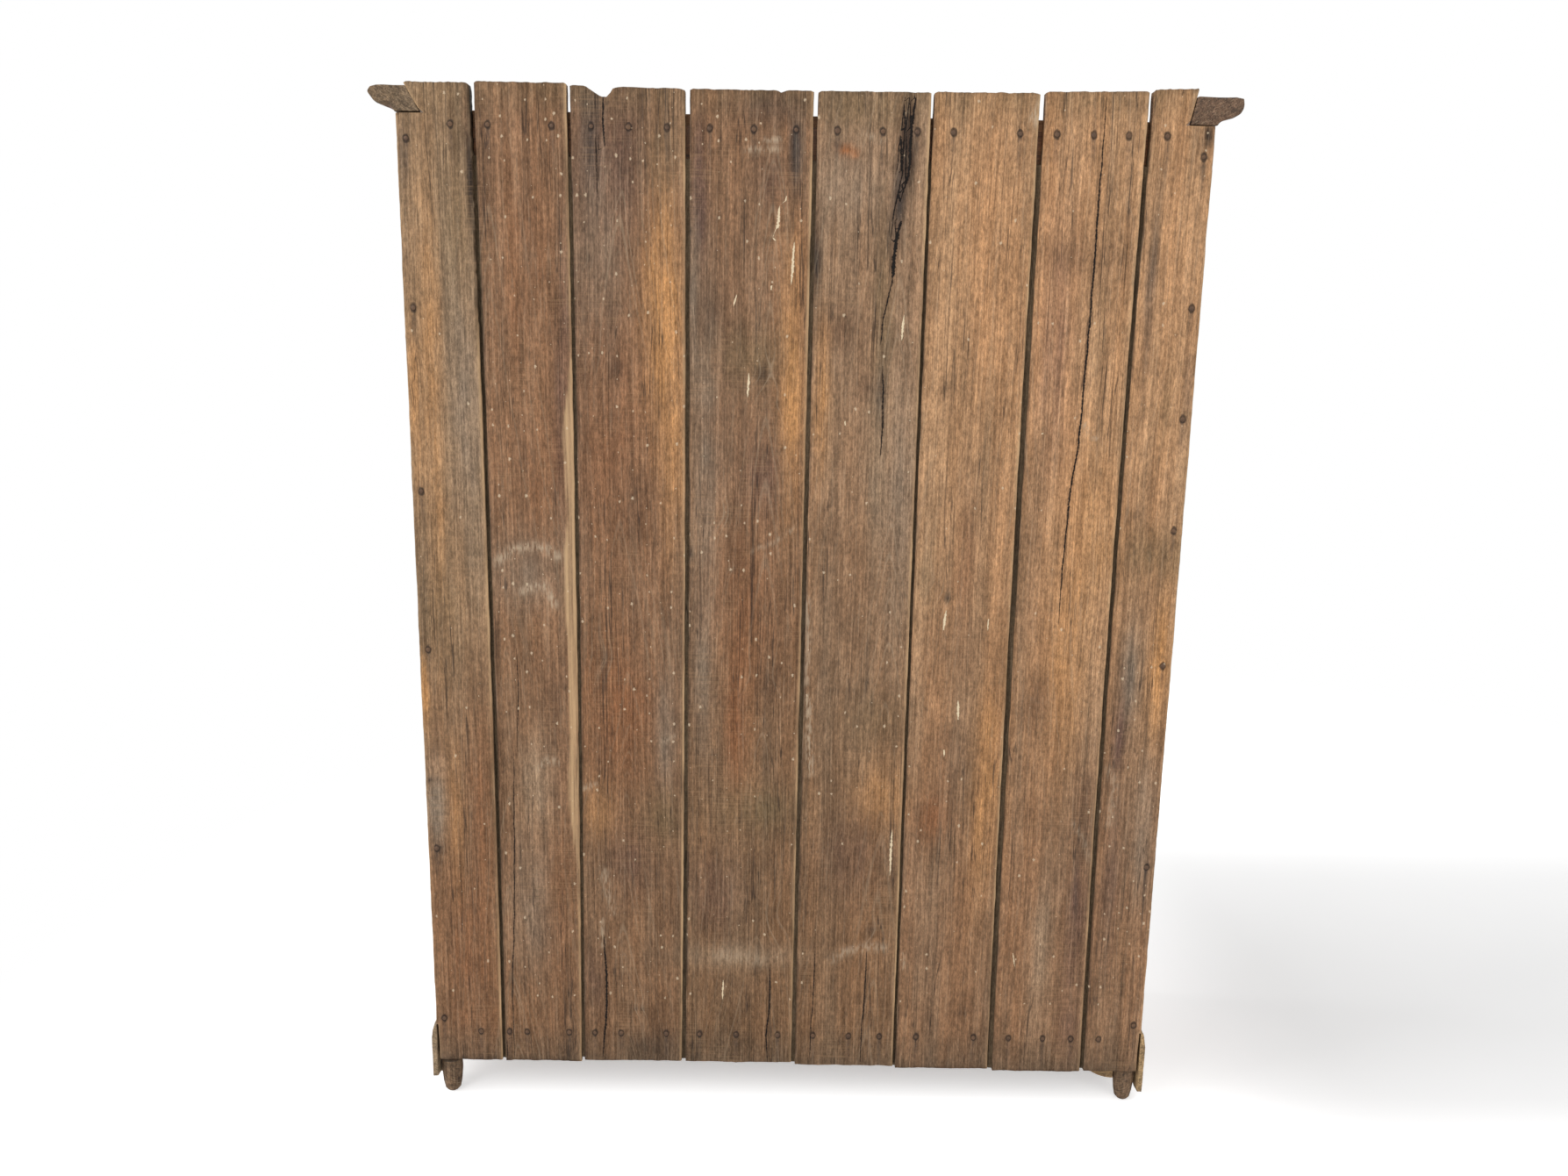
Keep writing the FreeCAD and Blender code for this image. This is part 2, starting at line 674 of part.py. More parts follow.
side_frames = {}
side_panels = []
for side, word in ((LEFT, "left"), (RIGHT, "right")):
    grooves = group(f"grooves_{word}", side_boxes(f"groove_{word}", side, size.groove_depth))
    panel_reach = size.groove_depth - size.groove_spare
    side_panels += side_boxes(f"panel_{word}", side, panel_reach)
    rails = [
        cut(
            f"side_rail_{name}_{word}",
            tenoned(
                f"side_{name}_{word}",
                span(side, side_inside, side_outside),
                side_rail_y,
                z,
                span(side, *centred(side_middle, size.tenon_thickness)),
                side_tenon_y,
            ),
            [grooves],
        )
        for name, z in side_rail_ranges.items()
    ]
    rails = group(f"side_rails_{word}", rails)
    side_frames[side] = [rails, grooves]
    keep(rails)
keep(group("side_panels", side_panels))

# Cleats under the top, the bottom and the shelves
shelf_lows = [height - size.shelf_thickness / 2 for height in bar_heights]
cleat_tops = [floor_bottom, *shelf_lows, ceiling_bottom]
cleat_inside = side_inside - size.cleat_width
side_cleats = []
for side, word in ((LEFT, "left"), (RIGHT, "right")):
    for number, cleat_top in enumerate(cleat_tops, start=1):
        # Only a shelf's cleats are let into the posts: the others are nailed to a side rail.
        housing = size.cleat_housing if cleat_top in shelf_lows else ZERO
        cleat_y = (front_post_back - housing, back_post_front + housing)
        cleat_z = (cleat_top - size.cleat_height, cleat_top)
        name = f"side_cleat_{number}_{word}"
        side_cleats.append(box(name, span(side, cleat_inside, side_inside), cleat_y, cleat_z))
front_cleats = [
    box(
        f"front_cleat_{word}",
        (-cleat_inside, cleat_inside),
        (front_post_back, front_post_back + size.cleat_width),
        (cleat_top - size.cleat_height, cleat_top),
    )
    for word, cleat_top in (("bottom", floor_bottom), ("top", ceiling_bottom))
]
cleats = group("cleats", side_cleats + front_cleats)
keep(cleats)


# Hinges: three butt hinges to a door, knuckles just proud of the face
knuckle_length = (size.hinge_length - size.knuckle_gap * (KNUCKLES - 1)) / KNUCKLES
bore_radius = (size.pin_radius + size.pin_clearance) * HOLE_SPREAD


def hinge_leaves(name, side, leaf_inner, knuckle_numbers):
    """The leaves of one door's hinges, let in flush at leaf_inner, with the knuckles they carry."""
    axis_x = hinge_axis_x if side == RIGHT else -hinge_axis_x
    leaf_x = span(side, leaf_inner, leaf_inner + size.hinge_leaf_thickness)
    leaf_back = hinge_axis_y + size.hinge_leaf_depth
    leaves = []
    for hinge, height in enumerate(hinge_heights, start=1):
        low = height - size.hinge_length / 2
        label = f"{name}_{hinge}"
        pieces = [box(f"{label}_plate", leaf_x, (front, leaf_back), (low, low + size.hinge_length))]
        for knuckle in knuckle_numbers:
            start = low + (knuckle_length + size.knuckle_gap) * knuckle
            where = (axis_x, hinge_axis_y, start)
            wrap = (start, start + knuckle_length)
            barrel = f"{label}_knuckle_{knuckle}"
            pieces.append(
                faceted(barrel, "z", KNUCKLE_SIDES, size.knuckle_radius, where, knuckle_length)
            )
            pieces.append(box(f"{label}_wrap_{knuckle}", leaf_x, (hinge_axis_y, front), wrap))
        where = (axis_x, hinge_axis_y, low)
        bore = faceted(
            f"{label}_bore", "z", BARREL_SIDES, bore_radius, where, size.hinge_length
        )
        leaves.append(cut(label, fuse(f"{label}_whole", pieces), [bore]))
    return group(name, leaves)


fixed_knuckles = range(0, KNUCKLES, 2)
moving_knuckles = range(1, KNUCKLES, 2)
fixed_leaves = {
    side: hinge_leaves(f"post_leaves_{word}", side, post_inside, fixed_knuckles)
    for side, word in ((LEFT, "left"), (RIGHT, "right"))
}
keep(group("hinge_leaves_fixed", list(fixed_leaves.values())))
pins = []
for side, word in ((LEFT, "left"), (RIGHT, "right")):
    axis_x = hinge_axis_x if side == RIGHT else -hinge_axis_x
    for hinge, height in enumerate(hinge_heights, start=1):
        low = height - size.hinge_length / 2
        high = low + size.hinge_length
        spot = (axis_x, hinge_axis_y)
        pieces = [
            rod(f"pin_shank_{hinge}_{word}", "z", size.pin_radius, (*spot, low), size.hinge_length)
        ]
        for part, start in (("foot", low - size.pin_head_height), ("head", high)):
            pieces.append(
                faceted(
                    f"pin_{part}_{hinge}_{word}", "z", BUTTON_SIDES, size.pin_head_radius,
                    (*spot, start), size.pin_head_height,
                )
            )
        pins.append(fuse(f"pin_{hinge}_{word}", pieces))
keep(group("hinge_pins", pins))


# Corner posts: square above, turned into a foot below
def post(name, x, y, foot_y, foot_height, tools):
    square_x, square_y = centred(x, size.post_width), centred(y, size.post_depth)
    square = box(f"{name}_square", square_x, square_y, (foot_height, top))
    rings = [(size.foot_radius * out, (x, foot_y, foot_height * up)) for out, up in foot_shares]
    foot = lofted(f"{name}_foot", "z", BARREL_SIDES, rings)
    return cut(name, fuse(f"{name}_blank", [square, foot]), tools)


for side, word in ((LEFT, "left"), (RIGHT, "right")):
    centre_x = middle(*span(side, post_inside, half_width))
    sides = side_frames[side]
    front_tools = [*sides, cleats, rail_front_top, rail_front_bottom, fixed_leaves[side]]
    back_tools = [*sides, cleats, rail_back_top, rail_back_bottom, nail_holes]
    front_y, back_y = middle(front, front_post_back), middle(back_post_front, back)
    foot_y = back_y + size.back_foot_offset
    keep(post(f"post_front_{word}", centre_x, front_y, front_y, size.foot_height, front_tools))
    keep(post(f"post_back_{word}", centre_x, back_y, foot_y, size.back_foot_height, back_tools))


# Boards that lie between the sides and reach the back boards, notched round the back posts
def level_board(name, start, reach, post_spare, low, thickness):
    edge = post_inside - post_spare
    notch = back_post_front - post_spare
    outline = [
        (-reach, start), (reach, start), (reach, notch), (edge, notch),
        (edge, back), (-edge, back), (-edge, notch), (-reach, notch),
    ]
    return prism(name, "XY_Plane", low, low + thickness, outline)


panel_reach = side_inside - size.panel_side_clearance
for name, low, thickness in (
    ("top_panel", ceiling_bottom, size.top_panel_thickness),
    ("bottom_panel", floor_bottom, size.bottom_panel_thickness),
):
    keep(level_board(name, front_post_back, panel_reach, ZERO, low, thickness))
shelf_front = door_back + size.shelf_setback
shelf_reach = side_inside - size.shelf_end_clearance
for word, low in zip(("lower", "middle", "upper"), shelf_lows):
    spare = size.shelf_end_clearance
    keep(level_board(f"shelf_{word}", shelf_front, shelf_reach, spare, low, size.shelf_thickness))


# Back boards
def joint_edge(joint, height, side):
    """The edge of the board on one side of a joint, at a height."""
    rise = height / size.board_height
    at_top = half_width * joint_top_shares[joint]
    at_bottom = half_width * joint_bottom_shares[joint]
    gap = size.joint_gap * joint_gap_shares[joint]
    return at_bottom + (at_top - at_bottom) * rise + gap / 2 * side


lap_top = ceiling_bottom - size.back_rail_height
notch_low = size.skirt_top + size.notch_clearance
notch_high = top - size.notch_clearance
last = len(board_top_shares) - 1


def outer_edge(side, bottom, height):
    """The free edge of an outermost board from bottom to top, notched for skirt and moulding."""
    foot_share, head_share = cornice_notch_shares[side]
    low_x = half_width - size.skirt_notch_depth
    chain = [
        (low_x, bottom),
        (low_x, notch_low),
        (half_width, notch_low),
        (half_width, notch_high),
        (half_width - size.cornice_reach * foot_share, notch_high),
        (half_width - size.cornice_reach * head_share, height),
    ]
    return [(x * side, z) for x, z in chain]


def top_edge(number, start, end):
    """The corners along a board's top between its two top corners, which are kept too."""
    broken = split_notch_shares if number == SPLIT_BOARD else ()
    steps = [
        (start[0] + (end[0] - start[0]) * along, start[1] - size.board_height * down)
        for along, down in broken
    ]
    return steps


def lap_strip(joint, bottom, reach):
    """The strip of a joint that a lap fills, from the edge behind it to reach past the gap."""
    near = LEFT if reach is TONGUE else RIGHT
    past = size.lap_width if reach is TONGUE else size.lap_width + size.lap_clearance
    return [
        (joint_edge(joint, bottom, near), bottom),
        (joint_edge(joint, bottom, RIGHT) + past, bottom),
        (joint_edge(joint, lap_top, RIGHT) + past, lap_top),
        (joint_edge(joint, lap_top, near), lap_top),
    ]


TONGUE, REBATE = "tongue", "rebate"
for number, top_shares in enumerate(board_top_shares):
    name = f"back_board_{number + 1}"
    near_height, far_height = (size.board_height * share for share in top_shares)
    bottom = size.board_height * board_bottom_shares[number]
    if number == 0:
        near_side = outer_edge(RIGHT, bottom, near_height)
    else:
        near_side = [
            (joint_edge(number - 1, bottom, LEFT), bottom),
            (joint_edge(number - 1, near_height, LEFT), near_height),
        ]
    if number == last:
        far_side = outer_edge(LEFT, bottom, far_height)[::-1]
    else:
        far_side = [
            (joint_edge(number, far_height, RIGHT), far_height),
            (joint_edge(number, bottom, RIGHT), bottom),
        ]
    outline = near_side + top_edge(number, near_side[-1], far_side[0]) + far_side
    body = new_body(f"{name}_blank")
    layer(body, name, "XZ_Plane", back, behind, outline)
    if number > 0:
        strip = lap_strip(number - 1, bottom, TONGUE)
        layer(body, f"{name}_tongue", "XZ_Plane", back, lap_face, strip)
    if number < last:
        strip = lap_strip(number, bottom, REBATE)
        layer(body, f"{name}_rebate", "XZ_Plane", back, lap_face, strip, kind="Pocket")
    keep(cut(name, body, [nail_holes]))


# Crown moulding: one section along three mitred lengths
def crown_section(outwards):
    """The moulding's section, with outwards giving the place at a reach from the carcass face."""
    corners = (
        (-size.cornice_back_foot, ZERO),
        (size.cornice_step, ZERO),
        (size.cornice_mid_reach, size.cornice_mid_rise),
        (size.cornice_reach, size.cornice_rise - size.cornice_nose),
        (size.cornice_reach, size.cornice_rise),
        (-size.cornice_back_head, size.cornice_rise),
    )
    return [(outwards(reach), top + rise) for reach, rise in corners]


crown_arcs = {
    1: (size.cornice_hollow_radius, "hollow"),
    2: (size.cornice_round_radius, "round"),
}


def skirt_section(outwards):
    corners = (
        (ZERO, size.skirt_bottom),
        (size.skirt_thickness, size.skirt_bottom),
        (size.skirt_thickness, size.skirt_top - size.skirt_chamfer_down),
        (size.skirt_thickness - size.skirt_chamfer_in, size.skirt_top),
        (ZERO, size.skirt_top),
    )
    return [(outwards(reach), height) for reach, height in corners]


def mitred_front(name, section, arcs, inner, outer, low, high):
    """A length across the front, with both ends mitred between inner and outer."""
    along = (-half_width - outer, half_width + outer)
    run = prism(f"{name}_run", "YZ_Plane", *along, section(lambda reach: front - reach), arcs)
    plan = [
        (-half_width - outer, front - outer),
        (half_width + outer, front - outer),
        (half_width - inner, front + inner),
        (-half_width + inner, front + inner),
    ]
    return common(name, run, prism(f"{name}_plan", "XY_Plane", low, high, plan))


def mitred_side(name, side, section, arcs, inner, outer, low, high):
    """A length along one side, mitred in front and square behind."""
    across = section(lambda reach: (half_width + reach) * side)
    run = prism(f"{name}_run", "XZ_Plane", front - outer, behind, across, arcs)
    plan = [
        ((half_width + outer) * side, front - outer),
        ((half_width + outer) * side, behind),
        ((half_width - inner) * side, behind),
        ((half_width - inner) * side, front + inner),
    ]
    return common(name, run, prism(f"{name}_plan", "XY_Plane", low, high, plan))


crown = (
    crown_section, crown_arcs, size.cornice_back_foot, size.cornice_reach, top,
    top + size.cornice_rise,
)
keep(mitred_front("cornice_front", *crown))
for side, word in ((LEFT, "left"), (RIGHT, "right")):
    keep(mitred_side(f"cornice_{word}", side, *crown))

# Plinth skirt: bevelled boards with a scrolled bracket beside each toe
scroll_rise = (size.skirt_arch - size.skirt_bottom) / 2


def scroll(corner, direction):
    """The lower edge from a toe's corner up to the arch."""
    toe = corner + size.skirt_toe * direction
    half_bracket = size.skirt_bracket / 2 * direction
    cusp = size.skirt_chamfer_in / 2 * direction
    return [
        (corner, size.skirt_bottom),
        (toe, size.skirt_bottom),
        (toe + half_bracket - cusp, size.skirt_bottom + scroll_rise),
        (toe + half_bracket, size.skirt_bottom + scroll_rise),
        (toe + half_bracket * 2, size.skirt_arch),
    ]


def broken(edge):
    """A toe with its corner gone: the edge climbs raggedly from inside the toe to the board's end."""
    (corner, low), *rest = edge
    return [
        (corner, low + size.skirt_break),
        (corner - size.skirt_break_length * 0.6, low + size.skirt_break * 0.8),
        (corner - size.skirt_break_length, low),
        *rest,
    ]


def skirt_arcs(near, far):
    """Arcs for the two scrolls at each end of the edge near + reversed far."""
    curve = size.skirt_scroll_curve
    count = len(near) + len(far)
    first = len(near) - 4
    mirror = count - len(far)
    return {
        first: (curve, "hollow"),
        first + 2: (curve, "round"),
        mirror: (curve, "round"),
        mirror + 2: (curve, "hollow"),
    }


def skirt_shape(name, role, low, high, start, end, is_broken):
    near, far = scroll(start, 1), scroll(end, -1)
    if is_broken:
        far = broken(far)
    outline = near + far[::-1] + [(end, size.skirt_top), (start, size.skirt_top)]
    return prism(name, role, low, high, outline, skirt_arcs(near, far))


skirt = (skirt_section, None, ZERO, size.skirt_thickness, size.skirt_bottom, size.skirt_top)
skirt_end = half_width + size.skirt_thickness
skirt_face = front - size.skirt_thickness
shape = skirt_shape("skirt_front_shape", "XZ_Plane", skirt_face, front, -skirt_end, skirt_end, False)
skirts = [common("skirt_front", mitred_front("skirt_front_length", *skirt), shape)]
for side, word in ((LEFT, "left"), (RIGHT, "right")):
    x = span(side, half_width, skirt_end)
    shape = skirt_shape(f"skirt_{word}_shape", "YZ_Plane", *x, skirt_face, behind, side == RIGHT)
    length = mitred_side(f"skirt_{word}_length", side, *skirt)
    skirts.append(common(f"skirt_{word}", length, shape))
keep(*skirts)

# Bracket behind the boards beside one back foot
bracket_end = -post_inside + size.rear_bracket_length
rear_bracket = prism(
    "rear_bracket",
    "XZ_Plane",
    back - size.rear_bracket_thickness,
    back,
    [
        (-post_inside, size.rear_bracket_toe),
        (bracket_end, size.rear_bracket_end),
        (bracket_end, size.base_height),
        (-post_inside, size.base_height),
    ],
    {0: (size.rear_bracket_curve, "round")},
)
keep(rear_bracket)


# Doors. A light is the clear opening of one pane: its cutter leaves a quarter-round on the front
def ovolo_slot(near, far):
    """A light's section from behind the door to its front, between two sight lines."""
    curve = size.moulding
    flat = curve * OVOLO_FLAT
    return [
        (near, door_back + OVERRUN),
        (near, front + curve),
        (near - flat, front + flat),
        (near - curve, front),
        (near - curve, front - OVERRUN),
        (far + curve, front - OVERRUN),
        (far + curve, front),
        (far + flat, front + flat),
        (far, front + curve),
        (far, door_back + OVERRUN),
    ]


columns = ((light_left, bar_middle - bar_reach), (bar_middle + bar_reach, light_right))
row_starts = [light_bottom] + [height + bar_reach for height in bar_heights]
row_ends = [height - bar_reach for height in bar_heights] + [light_top]
rows = list(zip(row_starts, row_ends))
column_slots = [
    prism(
        f"column_{number}_{word}",
        "XY_Plane",
        light_bottom - size.rebate_width,
        light_top + size.rebate_width,
        ovolo_slot(*span(side, *column)),
    )
    for side, word in ((LEFT, "left"), (RIGHT, "right"))
    for number, column in enumerate(columns, start=1)
]
row_slots = [
    prism(
        f"row_{number}",
        "YZ_Plane",
        -door_outer,
        door_outer,
        [(y, z) for z, y in ovolo_slot(*row)],
    )
    for number, row in enumerate(rows, start=1)
]
lights = common("lights", group("column_slots", column_slots), group("row_slots", row_slots))


frame_lap = size.rebate_width
bar_lap = bar_reach - rib_reach
column_laps = ((frame_lap, bar_lap), (bar_lap, frame_lap))
row_laps = [(bar_lap, bar_lap) for row in rows]
row_laps[0] = (frame_lap, bar_lap)
row_laps[-1] = (bar_lap, frame_lap)


def pane_fields(inset):
    """The x and z ranges of every pane's rebate, less an inset all round."""
    return [
        [
            (low - lap[0] + inset, high + lap[1] - inset)
            for (low, high), lap in ((column, across), (row, up))
        ]
        for column, across in zip(columns, column_laps)
        for row, up in zip(rows, row_laps)
    ]


def sight_fields(inset):
    """The x and z ranges of every light, less an inset all round."""
    return [
        [(low + inset, high - inset) for low, high in (column, row)]
        for column in columns
        for row in rows
    ]


hinge_stile_x = (light_right, door_outer)
meeting_stile_x = (door_inner, light_left)
door_y = (front, door_back)
tenon_y = centred(front + size.glass_depth / 2 + size.moulding / 2, size.door_tenon_thickness)
door_leaf_inner = door_outer - size.hinge_leaf_thickness
for side, word in ((LEFT, "left"), (RIGHT, "right")):
    rebate = box(
        f"rebate_{word}",
        span(side, light_left - frame_lap, light_right + frame_lap),
        (glass_front, door_back),
        (light_bottom - frame_lap, light_top + frame_lap),
    )
    rails = []
    for name, low, high in (
        ("top", light_top, door_top),
        ("bottom", door_bottom, light_bottom),
    ):
        pieces = [
            box(f"door_{name}_rail_{word}", span(side, light_left, light_right), door_y, (low, high)),
            box(
                f"door_{name}_tenon_{word}",
                span(side, door_inner, door_outer),
                tenon_y,
                (low + size.door_tenon_haunch, high - size.door_tenon_haunch),
            ),
        ]
        blank = fuse(f"door_{name}_blank_{word}", pieces)
        rails.append(cut(f"door_{word}_{name}_rail", blank, [rebate, lights]))
    keep(*rails)

    leaves = hinge_leaves(f"hinge_leaves_{word}", side, door_leaf_inner, moving_knuckles)
    keep(leaves)
    hinge_stile = box(
        f"hinge_stile_{word}", span(side, *hinge_stile_x), door_y, (door_bottom, door_top)
    )
    keep(cut(f"door_{word}_hinge_stile", hinge_stile, [rebate, lights, *rails, leaves]))

    bars = [
        box(
            f"upright_bar_{word}",
            span(side, *centred(bar_middle, size.bar_width)),
            (front, glass_front),
            (light_bottom, light_top),
        ),
        box(
            f"upright_rib_{word}",
            span(side, *centred(bar_middle, size.bar_rib)),
            (front, bead_back),
            (light_bottom - frame_lap, light_top + frame_lap),
        ),
    ]
    bars[1] = cut(
        f"upright_rib_end_{word}",
        bars[1],
        [
            box(
                f"rib_end_{word}_{number}",
                span(side, *centred(bar_middle, size.bar_rib)),
                (front, glass_front),
                z,
            )
            for number, z in enumerate(
                (
                    (light_bottom - frame_lap, light_bottom),
                    (light_top, light_top + frame_lap),
                ),
                start=1,
            )
        ],
    )
    for number, height in enumerate(bar_heights, start=1):
        bars.append(
            box(
                f"cross_bar_{number}_{word}",
                span(side, light_left, light_right),
                (front, glass_front),
                centred(height, size.bar_width),
            )
        )
        bars.append(
            box(
                f"cross_rib_{number}_{word}",
                span(side, light_left - frame_lap, light_right + frame_lap),
                (glass_front, bead_back),
                centred(height, size.bar_rib),
            )
        )
    keep(cut(f"door_{word}_glazing_bars", fuse(f"bars_{word}", bars), [lights]))

    panes = [
        box(f"pane_{number}_{word}", span(side, *x), (glass_front, glass_back), z)
        for number, (x, z) in enumerate(pane_fields(size.glass_spare), start=1)
    ]
    keep(group(f"door_{word}_panes", panes))
    bead_sides = pane_fields(ZERO)
    bead_sights = sight_fields(-size.bead_spare)
    beads = [
        cut(
            f"bead_{number}_{word}",
            box(f"bead_side_{number}_{word}", span(side, *x), (glass_back, bead_back), z),
            [
                box(
                    f"bead_sight_{number}_{word}",
                    span(side, *sight_x),
                    (glass_back, bead_back),
                    sight_z,
                )
            ],
        )
        for number, ((x, z), (sight_x, sight_z)) in enumerate(
            zip(bead_sides, bead_sights), start=1
        )
    ]
    keep(group(f"door_{word}_glazing_beads", beads))
    if side == LEFT:
        left_cuts = [rebate, lights, *rails]
    else:
        right_cuts = [rebate, lights, *rails]


# Lock, key and knob on the right door's meeting stile
def keyhole(name, low, high):
    """A round hole with a slot below it, between two depths."""
    slot = size.key_bit_thickness + size.key_slot_clearance * 2
    slot_low = size.lock_height - size.key_bit_length - size.key_slot_clearance
    radius = size.key_hole_radius * HOLE_SPREAD
    spot = (key_x, low, size.lock_height)
    return [
        faceted(f"{name}_round", "y", BARREL_SIDES, radius, spot, high - low),
        box(f"{name}_slot", centred(key_x, slot), (low, high), (slot_low, size.lock_height)),
    ]


lock_z = (size.lock_height - size.lock_drop, size.lock_height + size.lock_rise)
lock_x = (door_inner, door_inner + size.lock_width)
wall = size.lock_wall
lock_outer = box("lock_outer", lock_x, (lock_front, door_back), lock_z)
lock_inner = box(
    "lock_inner",
    (lock_x[0] + wall, lock_x[1] - wall),
    (lock_front + wall, door_back - wall),
    (lock_z[0] + wall, lock_z[1] - wall),
)
spare = size.lock_bolt_clearance
bolt_window = box(
    "bolt_window",
    (lock_x[0], lock_x[0] + wall),
    (lock_bolt_y[0] - spare, lock_bolt_y[1] + spare),
    (lock_bolt_low - spare, lock_bolt_high + spare),
)
case_keyhole = keyhole("case_keyhole", lock_front, lock_front + wall)
keep(cut("lock_case", lock_outer, [lock_inner, bolt_window, *case_keyhole]))
talon = box(
    "talon",
    centred(key_x + size.talon_offset, size.talon_width),
    lock_bolt_y,
    (lock_bolt_low, lock_bolt_low + size.talon_depth),
)
bolt_blank = box(
    "bolt_blank",
    (door_inner, door_inner + size.lock_bolt_length),
    lock_bolt_y,
    (lock_bolt_low, lock_bolt_high),
)
keep(cut("lock_bolt", bolt_blank, [talon]))

escutcheon_face = front - size.escutcheon_thickness
bow_centre = front - size.key_reach + size.key_bow_radius + size.key_bow_wire
key_end = lock_middle + size.key_bit_width / 2
bow_low = key_x - size.key_bow_wire
bow_spot = (bow_low, bow_centre, size.lock_height)
bow_outer = size.key_bow_radius + size.key_bow_wire
bow_inner = size.key_bow_radius - size.key_bow_wire
bow = cut(
    "key_bow",
    faceted("bow_outer", "x", BARREL_SIDES, bow_outer, bow_spot, size.key_bow_wire * 2),
    [faceted("bow_inner", "x", BARREL_SIDES, bow_inner, bow_spot, size.key_bow_wire * 2)],
)
shank_start = bow_centre + size.key_bow_radius
key_shank = rod(
    "key_shank", "y", size.key_radius, (key_x, shank_start, size.lock_height), key_end - shank_start
)
key_bit = box(
    "key_bit",
    centred(key_x, size.key_bit_thickness),
    (key_end - size.key_bit_width, key_end),
    (size.lock_height - size.key_bit_length, size.lock_height),
)
key_collar = faceted(
    "key_collar",
    "y",
    BARREL_SIDES,
    size.key_collar_radius,
    (key_x, escutcheon_face - size.key_collar_length, size.lock_height),
    size.key_collar_length,
)
keep(fuse("key", [bow, key_shank, key_collar, key_bit]))

escutcheon_blank = prism(
    "escutcheon_blank",
    "XZ_Plane",
    escutcheon_face,
    front,
    [
        (
            key_x + size.escutcheon_width / 2 * across,
            size.lock_height + size.escutcheon_height / 2 * up,
        )
        for across, up in plate_shares
    ],
)
plate_keyhole = keyhole("plate_keyhole", escutcheon_face, front)
keep(cut("escutcheon", escutcheon_blank, plate_keyhole))

knob_z = size.lock_height + size.knob_rise
knob_rings = [
    (size.knob_radius * out, (key_x, front - size.knob_reach * along, knob_z))
    for out, along in knob_shares
]
knob_stem = faceted(
    "knob_stem", "y", BUTTON_SIDES, size.knob_stem_radius, (key_x, front, knob_z),
    size.knob_stem_length,
)
keep(fuse("knob", [knob_stem, lofted("knob_turning", "y", KNOB_SIDES, knob_rings)]))
stem_hole = faceted(
    "stem_hole",
    "y",
    BUTTON_SIDES,
    size.knob_stem_radius + size.stem_clearance,
    (key_x, front, knob_z),
    size.knob_stem_length + size.stem_clearance,
)
stile_keyhole = keyhole("stile_keyhole", front, lock_front)
right_meeting = box(
    "meeting_stile_right", meeting_stile_x, door_y, (door_bottom, door_top)
)
right_cuts += [lock_outer, stem_hole, *stile_keyhole]
keep(cut("door_right_meeting_stile", right_meeting, right_cuts))

# Strike plate in the left door's edge, with a pocket for the lock bolt behind it
bolt_middle = middle(lock_bolt_low, lock_bolt_high)
strike_z = centred(bolt_middle, size.strike_height)
strike_blank = box(
    "strike_blank",
    (-door_inner - size.strike_thickness, -door_inner),
    centred(lock_middle - wall, size.strike_width),
    strike_z,
)
strike_pocket = box(
    "strike_pocket",
    (-door_inner - size.strike_pocket, -door_inner),
    (lock_bolt_y[0] - spare, lock_bolt_y[1] + spare),
    (lock_bolt_low - spare, lock_bolt_high + spare),
)
keep(cut("strike_plate", strike_blank, [strike_pocket]))
left_meeting = box(
    "meeting_stile_left", span(LEFT, *meeting_stile_x), door_y, (door_bottom, door_top)
)
left_cuts += [strike_blank, strike_pocket]
keep(cut("door_left_meeting_stile", left_meeting, left_cuts))

# Barrel bolts inside the left door, one up and one down
plates = []
for word, edge, direction in (("top", lip_bottom, -1), ("bottom", floor_top, 1)):

    def along(near, far):
        """The z range between two distances from the rail's lip, towards the door's middle."""
        ends = (edge + near * direction, edge + far * direction)
        return ends if direction == 1 else ends[::-1]

    plate_start = size.barrel_bolt_setback
    loop_start = plate_start + size.guide_setback
    plate_y = (door_back, door_back + size.barrel_bolt_plate)
    pieces = [
        box(
            f"bolt_plate_{word}",
            centred(socket_x, size.barrel_bolt_width),
            plate_y,
            along(plate_start, plate_start + size.barrel_bolt_length),
        )
    ]
    for number, start in enumerate((loop_start, loop_start + size.guide_spacing), start=1):
        staple = f"guide_{number}_{word}"
        staple_y = (door_back, rod_y + size.guide_radius)
        z = along(start, start + size.guide_length)
        pieces.append(box(staple, centred(socket_x, size.guide_radius * 2), staple_y, z))
    bore_width = (size.bolt_rod_radius + size.bolt_rod_clearance) * 2
    guide_z = along(plate_start, plate_start + size.barrel_bolt_length)
    guide_bore = box(
        f"guide_bore_{word}", centred(socket_x, bore_width), centred(rod_y, bore_width), guide_z
    )
    plates.append(cut(f"bolt_back_{word}", fuse(f"bolt_whole_{word}", pieces), [guide_bore]))
    rod_z = along(size.bolt_rod_setback, size.bolt_rod_setback + size.bolt_rod_length)
    stub_height = edge + (size.bolt_rod_setback + size.bolt_stub_setback) * direction
    slide = faceted(
        f"slide_{word}", "z", BARREL_SIDES, size.bolt_rod_radius, (socket_x, rod_y, rod_z[0]), size.bolt_rod_length
    )
    stub = faceted(
        f"stub_{word}",
        "y",
        BUTTON_SIDES,
        size.bolt_stub_radius,
        (socket_x, rod_y, stub_height),
        size.bolt_stub_length,
    )
    keep(fuse(f"bolt_rod_{word}", [slide, stub]))
keep(group("bolt_plates", plates))

doc.recompute()
for item in doc.Objects:
    if {"Invalid", "Error"} & set(item.State):
        raise RuntimeError(f"{item.Name} did not compute: {item.State}")
os.makedirs("parts", exist_ok=True)
for item in finished:
    name = item.Name
    item.Label = name
    if item.Shape.isNull() or not item.Shape.isValid():
        raise RuntimeError(f"{name} has no valid shape")
    item.Shape.exportStep(f"parts/{name}.step")
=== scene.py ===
import json
import math

